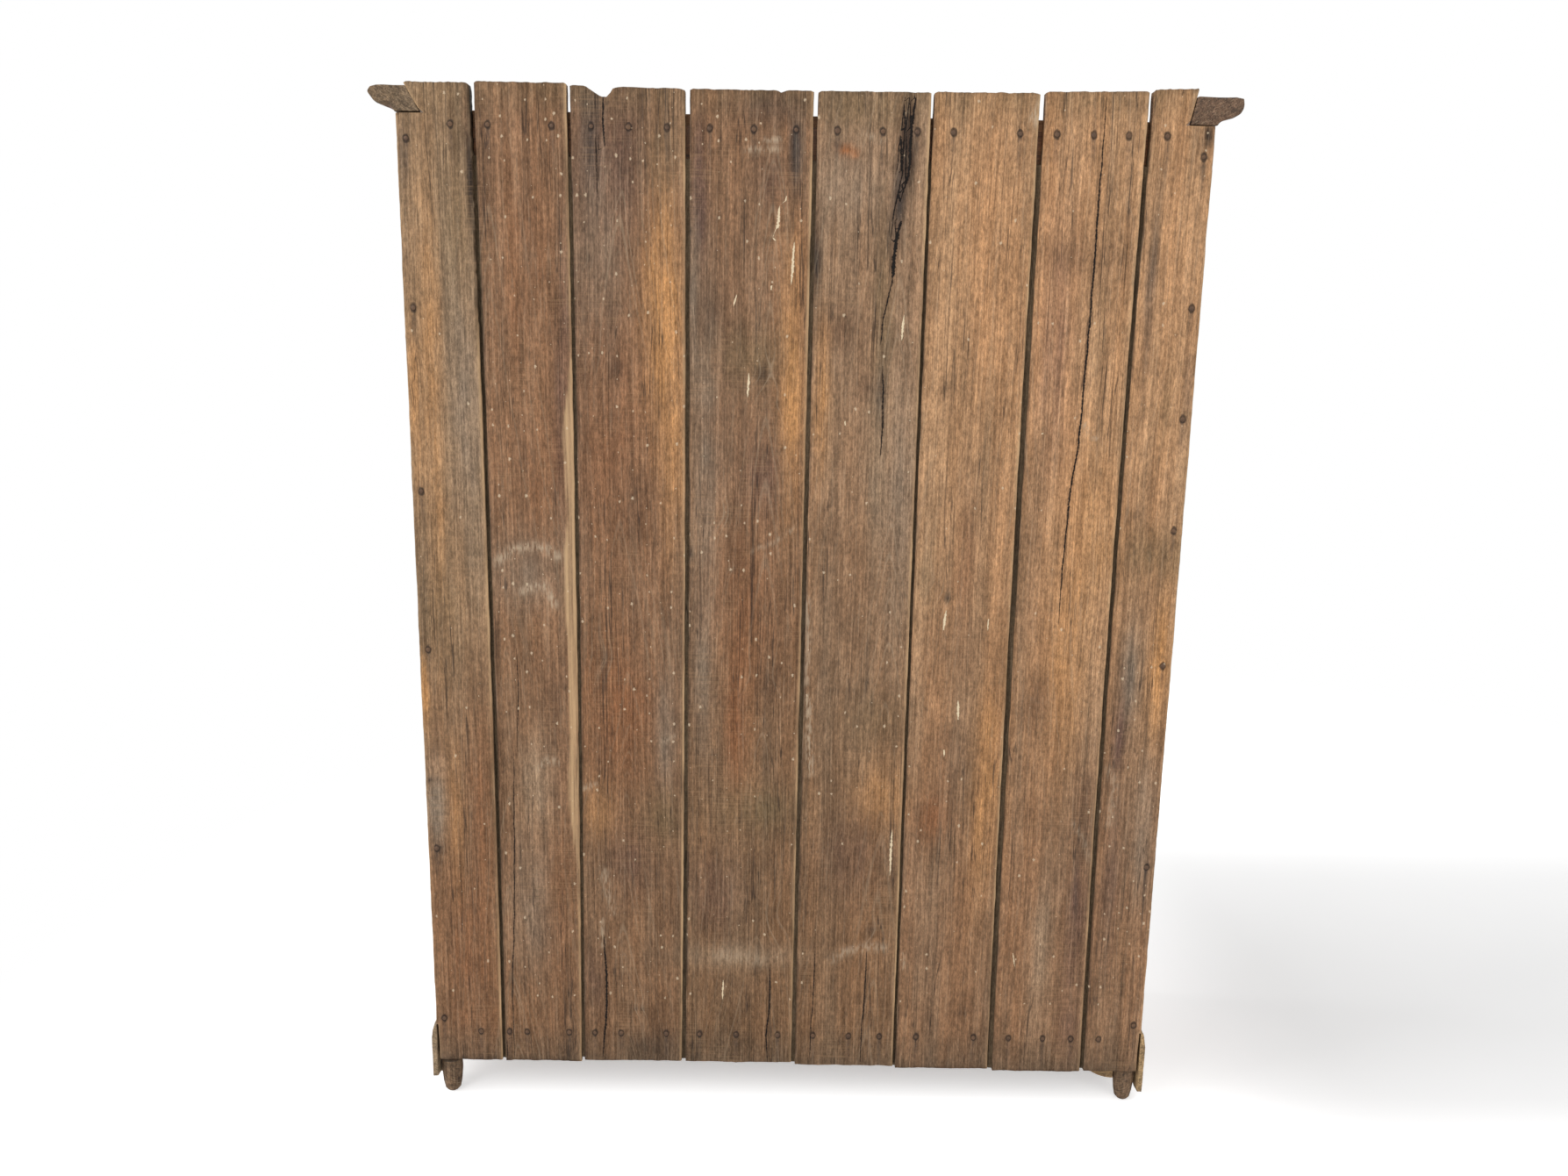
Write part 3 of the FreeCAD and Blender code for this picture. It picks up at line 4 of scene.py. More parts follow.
import bmesh
import bpy
import numpy as np
from mathutils import Matrix, Vector
from mathutils.noise import noise_vector, seed_set


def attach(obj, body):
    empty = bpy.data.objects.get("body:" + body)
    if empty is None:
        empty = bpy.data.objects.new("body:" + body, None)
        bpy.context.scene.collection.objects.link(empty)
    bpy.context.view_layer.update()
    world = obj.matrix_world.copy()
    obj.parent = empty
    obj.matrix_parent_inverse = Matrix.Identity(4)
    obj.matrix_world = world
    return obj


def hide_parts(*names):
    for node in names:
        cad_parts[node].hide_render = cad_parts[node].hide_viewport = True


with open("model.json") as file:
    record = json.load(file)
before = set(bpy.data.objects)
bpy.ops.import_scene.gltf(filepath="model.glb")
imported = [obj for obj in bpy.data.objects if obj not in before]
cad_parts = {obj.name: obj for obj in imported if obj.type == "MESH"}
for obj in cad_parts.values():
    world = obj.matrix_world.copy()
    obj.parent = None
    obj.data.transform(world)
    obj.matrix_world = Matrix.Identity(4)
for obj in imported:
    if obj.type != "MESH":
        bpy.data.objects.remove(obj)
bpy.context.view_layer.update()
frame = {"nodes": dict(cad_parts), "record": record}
slots = {part["node"]: part["material_slot"] for part in frame["record"]["subparts"]}
MM = 0.001

# Levels and reaches of the carcass, in millimetres
OUTER_FACE = 248.8
LAP_FACE = 238.8
INNER_FACE = 228.8
BOARD_HEIGHT = 2050.0
HALF_WIDTH = 750.0
LAP_TOP = 1924.0
SKIRT_NOTCH = 166.5
CROWN_NOTCH = 1994.5

SHARP = math.radians(38)  # the least angle that counts as an edge
MERGE = 1e-6  # corners nearer than this, in metres, are one
seed_set(11)  # noise_vector gives other values each run without a seed


# ---------------------------------------------------------------- shades
def shade(red, green, blue):
    """A colour given from 0 to 255, in the linear values that a shader takes."""
    parts = [value / 255 for value in (red, green, blue)]
    return tuple(p / 12.92 if p <= 0.04045 else ((p + 0.055) / 1.055) ** 2.4 for p in parts)


FAWN = shade(156, 124, 96)
DUN = shade(140, 107, 80)
DRAB = shade(134, 101, 75)
BROWN = shade(128, 96, 70)
CLAY = shade(178, 137, 100)
GREY = shade(132, 114, 96)
ASH = shade(172, 150, 124)
UMBER = shade(100, 74, 55)
RUSSET = shade(132, 88, 58)
HONEY = shade(184, 134, 86)
OLIVE = shade(112, 92, 66)
PLUM = shade(94, 70, 60)
SLATE = shade(68, 60, 56)
SOOT = shade(44, 36, 32)
RUST = shade(166, 100, 54)
CREAM = shade(226, 206, 172)
CHALK = shade(186, 164, 138)
HOLLOW = shade(22, 17, 14)


# ---------------------------------------------------------------- smooth random wandering
def drift(seed, places, length):
    """Smooth random values between -1 and 1 along a line."""
    table = np.random.default_rng(seed).uniform(-1, 1, 1024)
    steps = np.asarray(places, float) / length + 512
    low = np.floor(steps).astype(int)
    part = steps - low
    part = part * part * (3 - 2 * part)
    return table[low % 1024] * (1 - part) + table[(low + 1) % 1024] * part


def cloud(seed, across, along, width, length):
    """Smooth random values between -1 and 1 over a face, in blots of a width and length."""
    table = np.random.default_rng(seed).uniform(-1, 1, (256, 256))
    u, v = np.asarray(across, float) / width + 128, np.asarray(along, float) / length + 128
    i, j = np.floor(u).astype(int), np.floor(v).astype(int)
    a, b = u - i, v - j
    a, b = a * a * (3 - 2 * a), b * b * (3 - 2 * b)
    i, j = i % 256, j % 256
    k, m = (i + 1) % 256, (j + 1) % 256
    low = table[i, j] * (1 - a) + table[k, j] * a
    high = table[i, m] * (1 - a) + table[k, m] * a
    return low * (1 - b) + high * b


def ease(values, start, end):
    """A smooth step from 0 at start to 1 at end."""
    part = np.clip((np.asarray(values, float) - start) / (end - start), 0, 1)
    return part * part * (3 - 2 * part)


def bell(values, reach):
    """1 where the values are 0, falling away to both sides over a reach."""
    return np.exp(-((values / reach) ** 2))


# ---------------------------------------------------------------- laying out nodes
class Bench:
    """Lays out the nodes of one tree."""

    def __init__(self, tree):
        self.tree = tree

    def feed(self, socket, value):
        if isinstance(value, bpy.types.NodeSocket):
            self.tree.links.new(value, socket)
        elif socket.type == "RGBA" and len(value) == 3:
            socket.default_value = (*value, 1.0)
        else:
            socket.default_value = value

    def fill(self, node, inputs):
        for socket, value in inputs.items():
            self.feed(node.inputs[socket], value)

    def node(self, kind, inputs=None, **settings):
        node = self.tree.nodes.new(kind)
        for name, value in settings.items():
            setattr(node, name, value)
        self.fill(node, inputs or {})
        return node

    def result(self, kind, inputs=None, **settings):
        return self.node(kind, inputs, **settings).outputs[0]

    def maths(self, operation, *values):
        return self.result("ShaderNodeMath", dict(enumerate(values)), operation=operation)

    def times(self, first, second):
        return self.maths("MULTIPLY", first, second)

    def plus(self, first, second):
        return self.maths("ADD", first, second)

    def minus(self, first, second):
        return self.maths("SUBTRACT", first, second)

    def vector(self, operation, *values):
        return self.result("ShaderNodeVectorMath", dict(enumerate(values)), operation=operation)

    def length(self, vector):
        return self.node("ShaderNodeVectorMath", {0: vector}, operation="LENGTH").outputs["Value"]

    def spread(self, value, low, high, start=0.0, end=1.0):
        """A smooth step of value between low and high, put out between start and end."""
        inputs = {"Value": value, "From Min": low, "From Max": high, "To Min": start, "To Max": end}
        return self.result("ShaderNodeMapRange", inputs, interpolation_type="SMOOTHSTEP")

    def mix(self, share, first, second, kind="MIX"):
        inputs = {0: share, 6: first, 7: second}
        return self.node("ShaderNodeMix", inputs, data_type="RGBA", blend_type=kind).outputs[2]

    def layered(self, colour, layers):
        """A colour under layers, each of them a mask, its strength and its tint."""
        for mask, strength, tint in layers:
            colour = self.mix(self.times(mask, strength), colour, tint)
        return colour

    def split(self, vector):
        return self.node("ShaderNodeSeparateXYZ", {0: vector}).outputs

    def join(self, x, y, z):
        return self.result("ShaderNodeCombineXYZ", {0: x, 1: y, 2: z})

    def noise(self, place, scale=1.0, detail=2.0, roughness=0.5):
        inputs = {"Vector": place, "Scale": scale, "Detail": detail, "Roughness": roughness}
        return self.result("ShaderNodeTexNoise", inputs)

    def drawn(self, place, rates, detail=2.0, roughness=0.5):
        """Noise with a rate of its own along each axis."""
        return self.noise(self.vector("MULTIPLY", place, rates), 1.0, detail, roughness)

    def attribute(self, name, output="Fac"):
        return self.node("ShaderNodeAttribute", attribute_name=name).outputs[output]

    def group(self, group, **inputs):
        named = {name.capitalize(): value for name, value in inputs.items()}
        return self.node("ShaderNodeGroup", named, node_tree=group).outputs

    def place(self):
        return self.node("ShaderNodeTexCoord").outputs["Object"]


def new_tree(name, kind, inputs):
    """A node group, its bench and its inputs, each given by a first value or a kind of socket."""
    tree = bpy.data.node_groups.new(name, kind)
    for label, first in inputs.items():
        word = first if isinstance(first, str) else type(first).__name__.capitalize()
        socket = tree.interface.new_socket(label, in_out="INPUT", socket_type="NodeSocket" + word)
        if word != first:
            socket.default_value = first
    bench = Bench(tree)
    return tree, bench, bench.node("NodeGroupInput").outputs


def put_out(bench, results, kind):
    """Gives a node group its outputs, all of one kind of socket."""
    for label in results:
        bench.tree.interface.new_socket(label, in_out="OUTPUT", socket_type="NodeSocket" + kind)
    bench.node("NodeGroupOutput", results)


def effect(name, inputs, lay):
    """A shader node group whose outputs are what lay returns for its inputs."""
    group, bench, given = new_tree(name, "ShaderNodeTree", inputs)
    put_out(bench, lay(bench, given), "Float")
    return group


def lay_figure(bench, given):
    """Growth rings, fibre, streaks, blotches, pores and saw marks of teak, along its length."""
    place, ring = given["Place"], given["Ring"]
    x, y, z = bench.split(place)
    rings = bench.join(bench.times(ring, 210.0), bench.times(z, 1.3), 0.0)
    late = bench.noise(rings, detail=2.0, roughness=0.55)
    bent = bench.times(bench.drawn(place, (5.0, 5.0, 3.0), 1.0), 0.012)
    along = bench.join(bench.plus(x, bent), bench.plus(y, bent), z)
    fibre = bench.drawn(along, (390.0, 390.0, 7.0), 3.0, 0.66)
    sawn = bench.drawn(place, (13.0, 13.0, 330.0), 2.0, 0.6)
    rough_patch = bench.spread(bench.drawn(place, (11.0, 11.0, 5.0), 3.0), 0.46, 0.62)
    check = bench.minus(bench.drawn(along, (85.0, 85.0, 1.7)), 0.5)
    check = bench.spread(bench.maths("ABSOLUTE", check), 0.016, 0.004)
    checked = bench.spread(bench.drawn(place, (17.0, 17.0, 2.5)), 0.45, 0.6)
    pores = bench.spread(bench.drawn(place, (1150.0, 1150.0, 70.0), 1.0), 0.62, 0.74)
    height = bench.plus(bench.times(late, 0.4), bench.times(fibre, 0.9))
    return {
        "Lines": bench.spread(late, 0.52, 0.7),
        "Fibre": fibre,
        "Streak": bench.drawn(along, (130.0, 130.0, 2.2), 3.0, 0.6),
        "Blotch": bench.drawn(place, (62.0, 62.0, 26.0), 6.0, 0.86),
        "Mottle": bench.drawn(place, (230.0, 230.0, 85.0), 5.0, 0.8),
        "Pores": pores,
        "Sawn": bench.times(bench.spread(sawn, 0.5, 0.66), rough_patch),
        "Checks": bench.times(check, checked),
        "Height": bench.minus(height, bench.times(pores, 0.35)),
    }


def lay_line(bench, given):
    """A mark beside a line: its offset from the line and its half width come in one vector."""
    offset, half_width, _ = bench.split(given["Mark"])
    rough = bench.noise(given["Place"], 260.0, 3.0)
    reach = bench.times(half_width, bench.spread(rough, 0.3, 0.7, 0.5, 1.4))
    off = bench.maths("ABSOLUTE", offset)
    share = bench.maths("DIVIDE", off, bench.maths("MAXIMUM", reach, 0.00001))
    return {"Mask": bench.spread(share, 1.15, 0.75), "Shade": bench.spread(share, 4.0, 0.8)}


def lay_nail_stain(bench, given):
    """The black ring that iron leaves in teak round a nail, and the drip below it."""
    x, _, z = bench.split(given["Nail"])
    ragged = bench.noise(given["Place"], 130.0, 3.0)
    off = bench.length(bench.join(x, bench.times(z, 0.72), 0.0))
    wide = bench.times(off, bench.spread(ragged, 0.25, 0.75, 0.88, 1.16))
    down = bench.times(z, -1.0)
    run = bench.times(bench.spread(down, 0.095, 0.005), bench.spread(down, -0.004, 0.004))
    thin = bench.spread(bench.maths("ABSOLUTE", x), 0.0065, 0.001)
    drip = bench.times(bench.times(run, thin), bench.spread(ragged, 0.3, 0.6, 0.3, 1.0))
    return {"Ring": bench.spread(wide, 0.0078, 0.0050), "Drip": drip}


def lay_specks(bench, given):
    """Small splashes of old limewash on a back board, thicker where Amount is greater."""
    x, _, z = bench.split(given["Place"])
    flat = bench.join(x, bench.times(z, 0.75), 0.0)
    inputs = {"Vector": flat, "Scale": given["Scale"]}
    cells = bench.node("ShaderNodeTexVoronoi", inputs, voronoi_dimensions="2D").outputs
    pick, size, _ = bench.split(cells["Color"])
    chosen = bench.maths("LESS_THAN", pick, given["Amount"])
    edge = bench.spread(bench.noise(given["Place"], 420.0, 2.0), 0.3, 0.7, 0.6, 1.3)
    radius = bench.times(bench.spread(size, 0.2, 1.0, 0.035, 0.115), edge)
    share = bench.maths("DIVIDE", cells["Distance"], radius)
    return {"Mask": bench.times(chosen, bench.spread(share, 1.0, 0.6))}


def lay_dust(bench, given):
    """Dust on whatever faces up, in drifts."""
    up = bench.split(bench.node("ShaderNodeNewGeometry").outputs["Normal"])[2]
    drifts = bench.spread(bench.noise(given["Place"], 14.0, 4.0, 0.6), 0.25, 0.7, 0.25, 1.0)
    return {"Mask": bench.times(bench.spread(up, 0.45, 0.95), drifts)}


def lay_tarnish(bench, given):
    """Where handled metal is bright, dull or spotted."""
    broad = bench.noise(given["Place"], 55.0, 4.0, 0.6)
    spots = bench.noise(given["Place"], 420.0, 2.0, 0.5)
    return {
        "Dull": bench.spread(broad, 0.35, 0.65),
        "Spots": bench.spread(spots, 0.58, 0.72),
        "Height": bench.plus(broad, bench.times(spots, 0.4)),
    }


timber_figure = effect("timber figure", {"Place": "Vector", "Ring": 0.0}, lay_figure)
line_mark = effect("line mark", {"Mark": "Vector", "Place": "Vector"}, lay_line)
nail_stain = effect("nail stain", {"Nail": "Vector", "Place": "Vector"}, lay_nail_stain)
limewash_specks = effect(
    "limewash specks", {"Place": "Vector", "Amount": 0.2, "Scale": 38.0}, lay_specks
)
settled_dust = effect("settled dust", {"Place": "Vector"}, lay_dust)
tarnish = effect("tarnish", {"Place": "Vector"}, lay_tarnish)


# ---------------------------------------------------------------- materials
def material(name):
    """A new material with one Principled shader; returns the material, its bench and that node."""
    made = bpy.data.materials.new(name)
    made.use_nodes = True
    made.node_tree.nodes.clear()
    bench = Bench(made.node_tree)
    shader = bench.node("ShaderNodeBsdfPrincipled")
    bench.node("ShaderNodeOutputMaterial", {"Surface": shader.outputs[0]})
    return made, bench, shader


def bump(bench, height, distance, strength):
    inputs = {"Height": height, "Distance": distance, "Strength": strength}
    return bench.result("ShaderNodeBump", inputs)


def figured(bench, figure, tone, depth):
    """A tone with the figure of its timber laid over it, to a depth."""
    for label, change in (("Fibre", 0.21), ("Streak", 0.2), ("Blotch", 0.27), ("Mottle", 0.36)):
        light = bench.spread(figure[label], 0.3, 0.7, 1 - change * depth, 1 + change * depth)
        tone = bench.mix(1.0, tone, light, "MULTIPLY")
    return tone


def weathered_boards():
    """Dry teak with streaks, splits, limewash, nail stains and a pale arris, partly rubbed and
    partly painted highlight.
    """
    made, bench, shader = material("weathered boards")
    place = bench.place()
    wear_and_highlight, specks, scuff = bench.split(bench.attribute("wear_and_highlight", "Vector"))
    crack = bench.attribute("crack", "Vector")
    figure = bench.group(timber_figure, place=place, ring=bench.attribute("ring"))
    marks = bench.group(nail_stain, nail=bench.attribute("nail", "Vector"), place=place)
    split = bench.group(line_mark, mark=crack, place=place)
    scratch = bench.group(line_mark, mark=bench.attribute("scratch", "Vector"), place=place)
    paint = bench.group(limewash_specks, place=place, amount=specks)
    patchy = bench.spread(bench.drawn(place, (260.0, 260.0, 60.0), 3.0), 0.36, 0.6)
    colour = bench.layered(figured(bench, figure, bench.attribute("tone", "Color"), 1.0), (
        (bench.spread(figure["Fibre"], 0.52, 0.7), 0.22, ASH),
        (figure["Sawn"], 0.15, shade(186, 148, 110)),
        (bench.spread(figure["Mottle"], 0.6, 0.72), 0.36, shade(188, 158, 126)),
        (figure["Lines"], bench.split(crack)[2], ASH),
        (bench.spread(figure["Blotch"], 0.42, 0.28), 0.22, UMBER),
        (figure["Pores"], 0.38, UMBER),
        (figure["Checks"], 0.68, SOOT),
        (scuff, patchy, CHALK),
        # The pale arris: partly rubbed bare, partly a painted highlight
        (wear_and_highlight, bench.spread(figure["Streak"], 0.3, 0.62, 0.25, 1.0), shade(198, 164, 124)),
        (marks["Drip"], 0.4, SLATE),
        (marks["Ring"], 0.8, SOOT),
        (split["Shade"], 0.35, UMBER),
        (split["Mask"], 1.0, HOLLOW),
        (scratch["Mask"], 1.0, CREAM),
        (paint["Mask"], 0.66, shade(214, 192, 162)),
    ))
    height = bench.minus(figure["Height"], bench.times(split["Mask"], 3.0))
    height = bench.minus(height, bench.times(scratch["Mask"], 0.5))
    bench.fill(shader, {
        "Base Color": colour,
        "Roughness": bench.spread(figure["Fibre"], 0.3, 0.7, 0.9, 0.7),
        "Normal": bump(bench, height, 0.0009, 0.8),
        "Specular IOR Level": 0.2,
    })
    return made


def cut_teak(name, deep, light, rough, wax, dusty):
    """Sawn and planed teak: deep and light are its two shades, wax the share that shines."""
    made, bench, shader = material(name)
    log = bench.attribute("log", "Vector")
    x, y, z = bench.split(log)
    place = bench.place()
    sway = bench.times(bench.noise(bench.join(0.0, 0.0, z), 3.0, 2.0), 0.007)
    ring = bench.length(bench.join(bench.plus(x, sway), y, 0.0))
    figure = bench.group(timber_figure, place=log, ring=ring)
    colour = bench.mix(bench.spread(figure["Lines"], 0.0, 1.0, 0.85, 0.1), deep, light)
    tint = bench.spread(bench.drawn(log, (9.0, 9.0, 1.2), 3.0), 0.3, 0.7, 0.0, 0.5)
    colour = bench.mix(tint, colour, bench.mix(1.0, colour, shade(200, 184, 172), "MULTIPLY"))
    rubbed = bench.spread(bench.noise(place, 45.0, 4.0, 0.65), 0.42, 0.62)
    colour = bench.layered(figured(bench, figure, colour, 0.7), (
        (figure["Pores"], 0.5, UMBER),
        (bench.times(bench.attribute("edge"), rubbed), 0.75, shade(190, 150, 108)),
    ))

    # The sawn ends that face the wall, with strands that lean outwards as they rise
    px, _, pz = bench.split(place)
    outwards = bench.maths("ABSOLUTE", px)
    run = bench.times(bench.plus(outwards, bench.times(pz, 0.6)), 60.0)
    over = bench.times(bench.minus(pz, bench.times(outwards, 0.6)), 330.0)
    strands = bench.noise(bench.join(run, over, 0.0), detail=3.0, roughness=0.6)
    raw = bench.layered(figured(bench, figure, bench.attribute("raw", "Color"), 1.1), (
        (bench.spread(strands, 0.5, 0.68), 0.55, SOOT),
        (bench.spread(strands, 0.46, 0.3), 0.4, ASH),
        (bench.spread(bench.noise(place, 48.0, 4.0, 0.6), 0.52, 0.68), 0.55, SOOT),
        (bench.spread(figure["Fibre"], 0.5, 0.72), 0.3, ASH),
    ))
    bare = bench.attribute("weathered")
    dust = bench.group(settled_dust, place=place)["Mask"]
    layers = ((bare, 1.0, raw), (dust, dusty, shade(168, 156, 140)))
    gloss = bench.spread(bench.noise(place, 18.0, 3.0), 0.3, 0.7, rough - 0.1, rough + 0.1)
    gloss = bench.plus(gloss, bench.times(dust, 0.25 * dusty))
    height = bench.times(figure["Height"], bench.spread(bare, 0.0, 1.0, 0.35, 1.6))
    bench.fill(shader, {
        "Base Color": bench.layered(colour, layers),
        "Roughness": bench.plus(gloss, bench.times(bare, 0.35)),
        "Normal": bump(bench, height, 0.0009, 0.6),
        "Coat Weight": bench.times(bench.minus(1.0, bare), wax),
        "Coat Roughness": 0.35,
        "Specular IOR Level": 0.35,
    })
    return made


def spotted_metal(name, bright, dull, spot, roughness, relief):
    """Old metal of two shades, with spots of a strength and a tint, still to be made metallic."""
    made, bench, shader = material(name)
    spots = bench.group(tarnish, place=bench.place())
    colour = bench.mix(spots["Dull"], bright, dull)
    bench.fill(shader, {
        "Base Color": bench.layered(colour, ((spots["Spots"], *spot),)),
        "Roughness": bench.spread(spots["Dull"], 0.0, 1.0, *roughness),
        "Normal": bump(bench, spots["Height"], *relief),
    })
    return made, bench, shader.inputs["Metallic"], spots["Dull"]


def tarnished_brass():
    shades = shade(188, 150, 84), shade(112, 86, 52), (0.6, shade(66, 54, 38))
    made, _, metallic, _ = spotted_metal("tarnished brass", *shades, (0.32, 0.55), (0.0002, 0.4))
    metallic.default_value = 0.9
    return made


def rusty_iron(name, dark, brown):
    shades = dark, brown, (0.7, SOOT)
    made, bench, metallic, dull = spotted_metal(name, *shades, (0.6, 0.85), (0.0005, 0.8))
    bench.feed(metallic, bench.spread(dull, 0.0, 1.0, 0.6, 0.15))
    return made


def old_glass():
    """Drawn window glass, a little green and not quite flat."""
    made, bench, shader = material("old glass")
    place = bench.place()
    ripple = bench.drawn(place, (9.0, 9.0, 3.5), 1.0)
    bench.fill(shader, {
        "Base Color": shade(238, 246, 242),
        "Transmission Weight": 1.0,
        "IOR": 1.5,
        "Roughness": bench.spread(bench.noise(place, 7.0, 4.0), 0.45, 0.75, 0.02, 0.12),
        "Normal": bump(bench, ripple, 0.002, 0.25),
    })
    return made


finishes = {
    "teak_boards": weathered_boards(),
    "teak_frame": cut_teak("waxed teak", shade(88, 54, 34), shade(146, 100, 62), 0.5, 0.25, 0.35),
    "teak_inside": cut_teak("bare teak", shade(124, 90, 64), shade(164, 124, 90), 0.75, 0.0, 0.55),
    "brass": tarnished_brass(),
    "iron": rusty_iron("rusty iron", shade(62, 48, 42), shade(98, 62, 42)),
    "glass": old_glass(),
}


# ---------------------------------------------------------------- pieces
def body_of(node):
    bodies = frame["record"]["behaviour"]["bodies"]
    return next(body for body, members in bodies.items() if node in members)


def add_object(name, data):
    made = bpy.data.objects.new(name, data)
    bpy.context.scene.collection.objects.link(made)
    return made


def add_piece(name, mesh, node_names):
    """Puts a mesh in the scene in place of CAD nodes, on their body and in their finish."""
    piece = add_object(name, mesh)
    slot = slots[node_names[0]]
    if not mesh.materials:
        mesh.materials.append(finishes[slot])
    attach(piece, body_of(node_names[0]))
    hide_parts(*node_names)


def write(mesh, name, kind, values):
    """Keeps one value for each vertex as a named attribute of the mesh."""
    layer = mesh.attributes.new(name, kind, "POINT")
    field = {"FLOAT": "value", "FLOAT_VECTOR": "vector", "FLOAT_COLOR": "color"}[kind]
    layer.data.foreach_set(field, np.asarray(values, np.float32).ravel())


def vertices(mesh):
    places = np.zeros(len(mesh.vertices) * 3)
    mesh.vertices.foreach_get("co", places)
    return places.reshape(-1, 3)


def packed(node):
    """A copy of a CAD node's mesh, to be worked on, with its corners joined."""
    bm = bmesh.new()
    bm.from_mesh(frame["nodes"][node].data)
    bmesh.ops.remove_doubles(bm, verts=bm.verts, dist=MERGE)
    return bm


def poured(bm, name):
    """The mesh that a worked form ends as."""
    mesh = bpy.data.meshes.new(name)
    bm.to_mesh(mesh)
    bm.free()
    return mesh


def islands(bm):
    """Gives every vertex the number of the separate solid that it belongs to."""
    bm.verts.index_update()
    number = np.full(len(bm.verts), -1)
    count = 0
    bm.verts.ensure_lookup_table()
    for start in bm.verts:
        if number[start.index] >= 0:
            continue
        number[start.index] = count
        queue = [start]
        while queue:
            for edge in queue.pop().link_edges:
                for vertex in edge.verts:
                    if number[vertex.index] < 0:
                        number[vertex.index] = count
                        queue.append(vertex)
        count += 1
    return number, count


def split_faces(bm):
    """Cuts the faces with many corners or a dented outline into triangles."""
    dented = [
        f for f in bm.faces
        if len(f.verts) > 4 or not all(loop.is_convex for loop in f.loops)
    ]
    bmesh.ops.triangulate(bm, faces=dented)


def rounded(bm, edges, width, segments=2, profile=0.6):
    """Rounds edges to a width in metres, and returns the new faces."""
    made = bmesh.ops.bevel(
        bm, geom=edges, offset=width, segments=segments, profile=profile,
        affect="EDGES", clamp_overlap=True,
    )
    return made["faces"]


def round_mouldings(bm):
    """Rounds the ovolo mouldings of a door, which are packed as two flats."""
    turns = {edge: edge.calc_face_angle_signed() for edge in bm.edges if edge.is_manifold}
    edges = [
        edge for edge, turn in turns.items()
        if math.radians(40) < turn < math.radians(50) and edge.calc_length() > 0.03
    ]
    if edges:
        rounded(bm, edges, 0.0024, 3, 0.5)


def eased_copy(node, ease_width):
    """A merged copy of a CAD node with its sharp outer edges eased."""
    bm = packed(node)
    bmesh.ops.dissolve_limit(bm, angle_limit=math.radians(1), verts=bm.verts, edges=bm.edges)
    if node.startswith("door"):
        round_mouldings(bm)
    # The mouths of the bolts' sockets in the front rails are short edges, and stay sharp
    shortest = 0.005 if node.startswith("rail_front") else 0.0
    edges = [
        e for e in bm.edges
        if e.is_manifold and e.calc_face_angle_signed() > SHARP and e.calc_length() > shortest
    ]
    edge_layer = bm.faces.layers.float.new("edge")
    if ease_width and edges:
        for face in rounded(bm, edges, ease_width):
            face[edge_layer] = 1.0
    bmesh.ops.dissolve_degenerate(bm, dist=5e-6, edges=bm.edges)
    return bm


# The ends that face the wall were never polished: their shade, by the start of the node's name
BARE_ENDS = {
    "cornice_left": shade(104, 80, 62), "cornice_right": shade(114, 94, 72),
    "skirt_left": shade(168, 138, 98), "skirt_right": shade(148, 126, 98),
    "post_back": shade(112, 88, 66), "rear_bracket": shade(158, 128, 90),
}

# In metres: the crown moulding's outer lower corner, the depths of the rings that are cut in a
# moulding near its rear end, and the place and height where the crown's slanted inner side starts
CROWN_REACH, CROWN_LEVEL = 0.8, 2.042
END_RINGS = (0.15, 0.19, 0.215, 0.2278, 0.238)
SLANT_FOOT, SLANT_LEVEL, SLANT_LEAN = 0.711, 1.997, 24 / 45


def ramp(value, start, length):
    """A straight step from 0 at start to 1 over a length."""
    return min(1.0, max(0.0, (value - start) / length))


def gnaw_crown(vertex, side, share):
    """Sets a corner of the crown moulding to the boards and wears it, by a share from 0 to 1."""
    x, y, z = vertex.co
    # The slanted side behind the boards' inner face follows the notch in the board beside it
    if y > INNER_FACE * MM - 0.0009 and x * side < 0.742:
        near, far = board_edges(0 if side > 0 else LAST, z / MM)
        edge = (near if side > 0 else -far) * MM + 0.0009
        slant = SLANT_FOOT + (z - SLANT_LEVEL) * SLANT_LEAN
        vertex.co.x -= side * (slant - edge) * max(0.0, 1 - (x * side - slant) / 0.02)
    # The outer corner is worn off, and the lower side sags (+X) or is eaten away (-X)
    tip = math.hypot(abs(x) - CROWN_REACH, z - CROWN_LEVEL)
    pull = share * max(0.0, 0.011 - tip) * (0.5 if side > 0 else 0.25)
    vertex.co.x -= side * pull
    vertex.co.z -= pull * 0.6
    out = ramp(abs(x), 0.752, 0.048)
    under = float(ease(CROWN_LEVEL - z, 0.002, 0.012)) * share
    if side > 0:
        belly = 0.006 * math.exp(-(((out - 0.66) / 0.24) ** 2))
        belly -= 0.004 * math.exp(-(((out - 0.2) / 0.14) ** 2))
    else:
        belly = 0.008 * min(1.0, 3.0 * out) * (1 - 0.35 * out)
        vertex.co.z += 0.0035 * share * (1 - under) * float(ease(abs(x), 0.715, 0.745))
    vertex.co.z -= belly * under


def gnaw_end(bm, node):
    """Cuts rings near the rear end of a moulding, wears its corners and sets it to the boards."""
    for level in END_RINGS:
        geometry = list(bm.verts) + list(bm.edges) + list(bm.faces)
        bmesh.ops.bisect_plane(bm, geom=geometry, plane_co=(0, level, 0), plane_no=(0, 1, 0))
    rear = [e for e in bm.edges if min(v.co.y for v in e.verts) > 0.21 and e.calc_length() > 0.012]
    bmesh.ops.subdivide_edges(bm, edges=rear, cuts=3, use_grid_fill=False)
    side = -1 if node.endswith("left") else 1
    for vertex in bm.verts:
        x, y, _ = vertex.co
        share = float(ease(y, 0.14, 0.245))
        if node.startswith("cornice"):
            gnaw_crown(vertex, side, share)
        else:
            outer = ramp(x * side, HALF_WIDTH * MM, 0.016)
            vertex.co.x -= side * 0.005 * outer * float(ease(y, 0.17, 0.245))
        vertex.co += noise_vector(vertex.co * 70) * 0.0016 * share


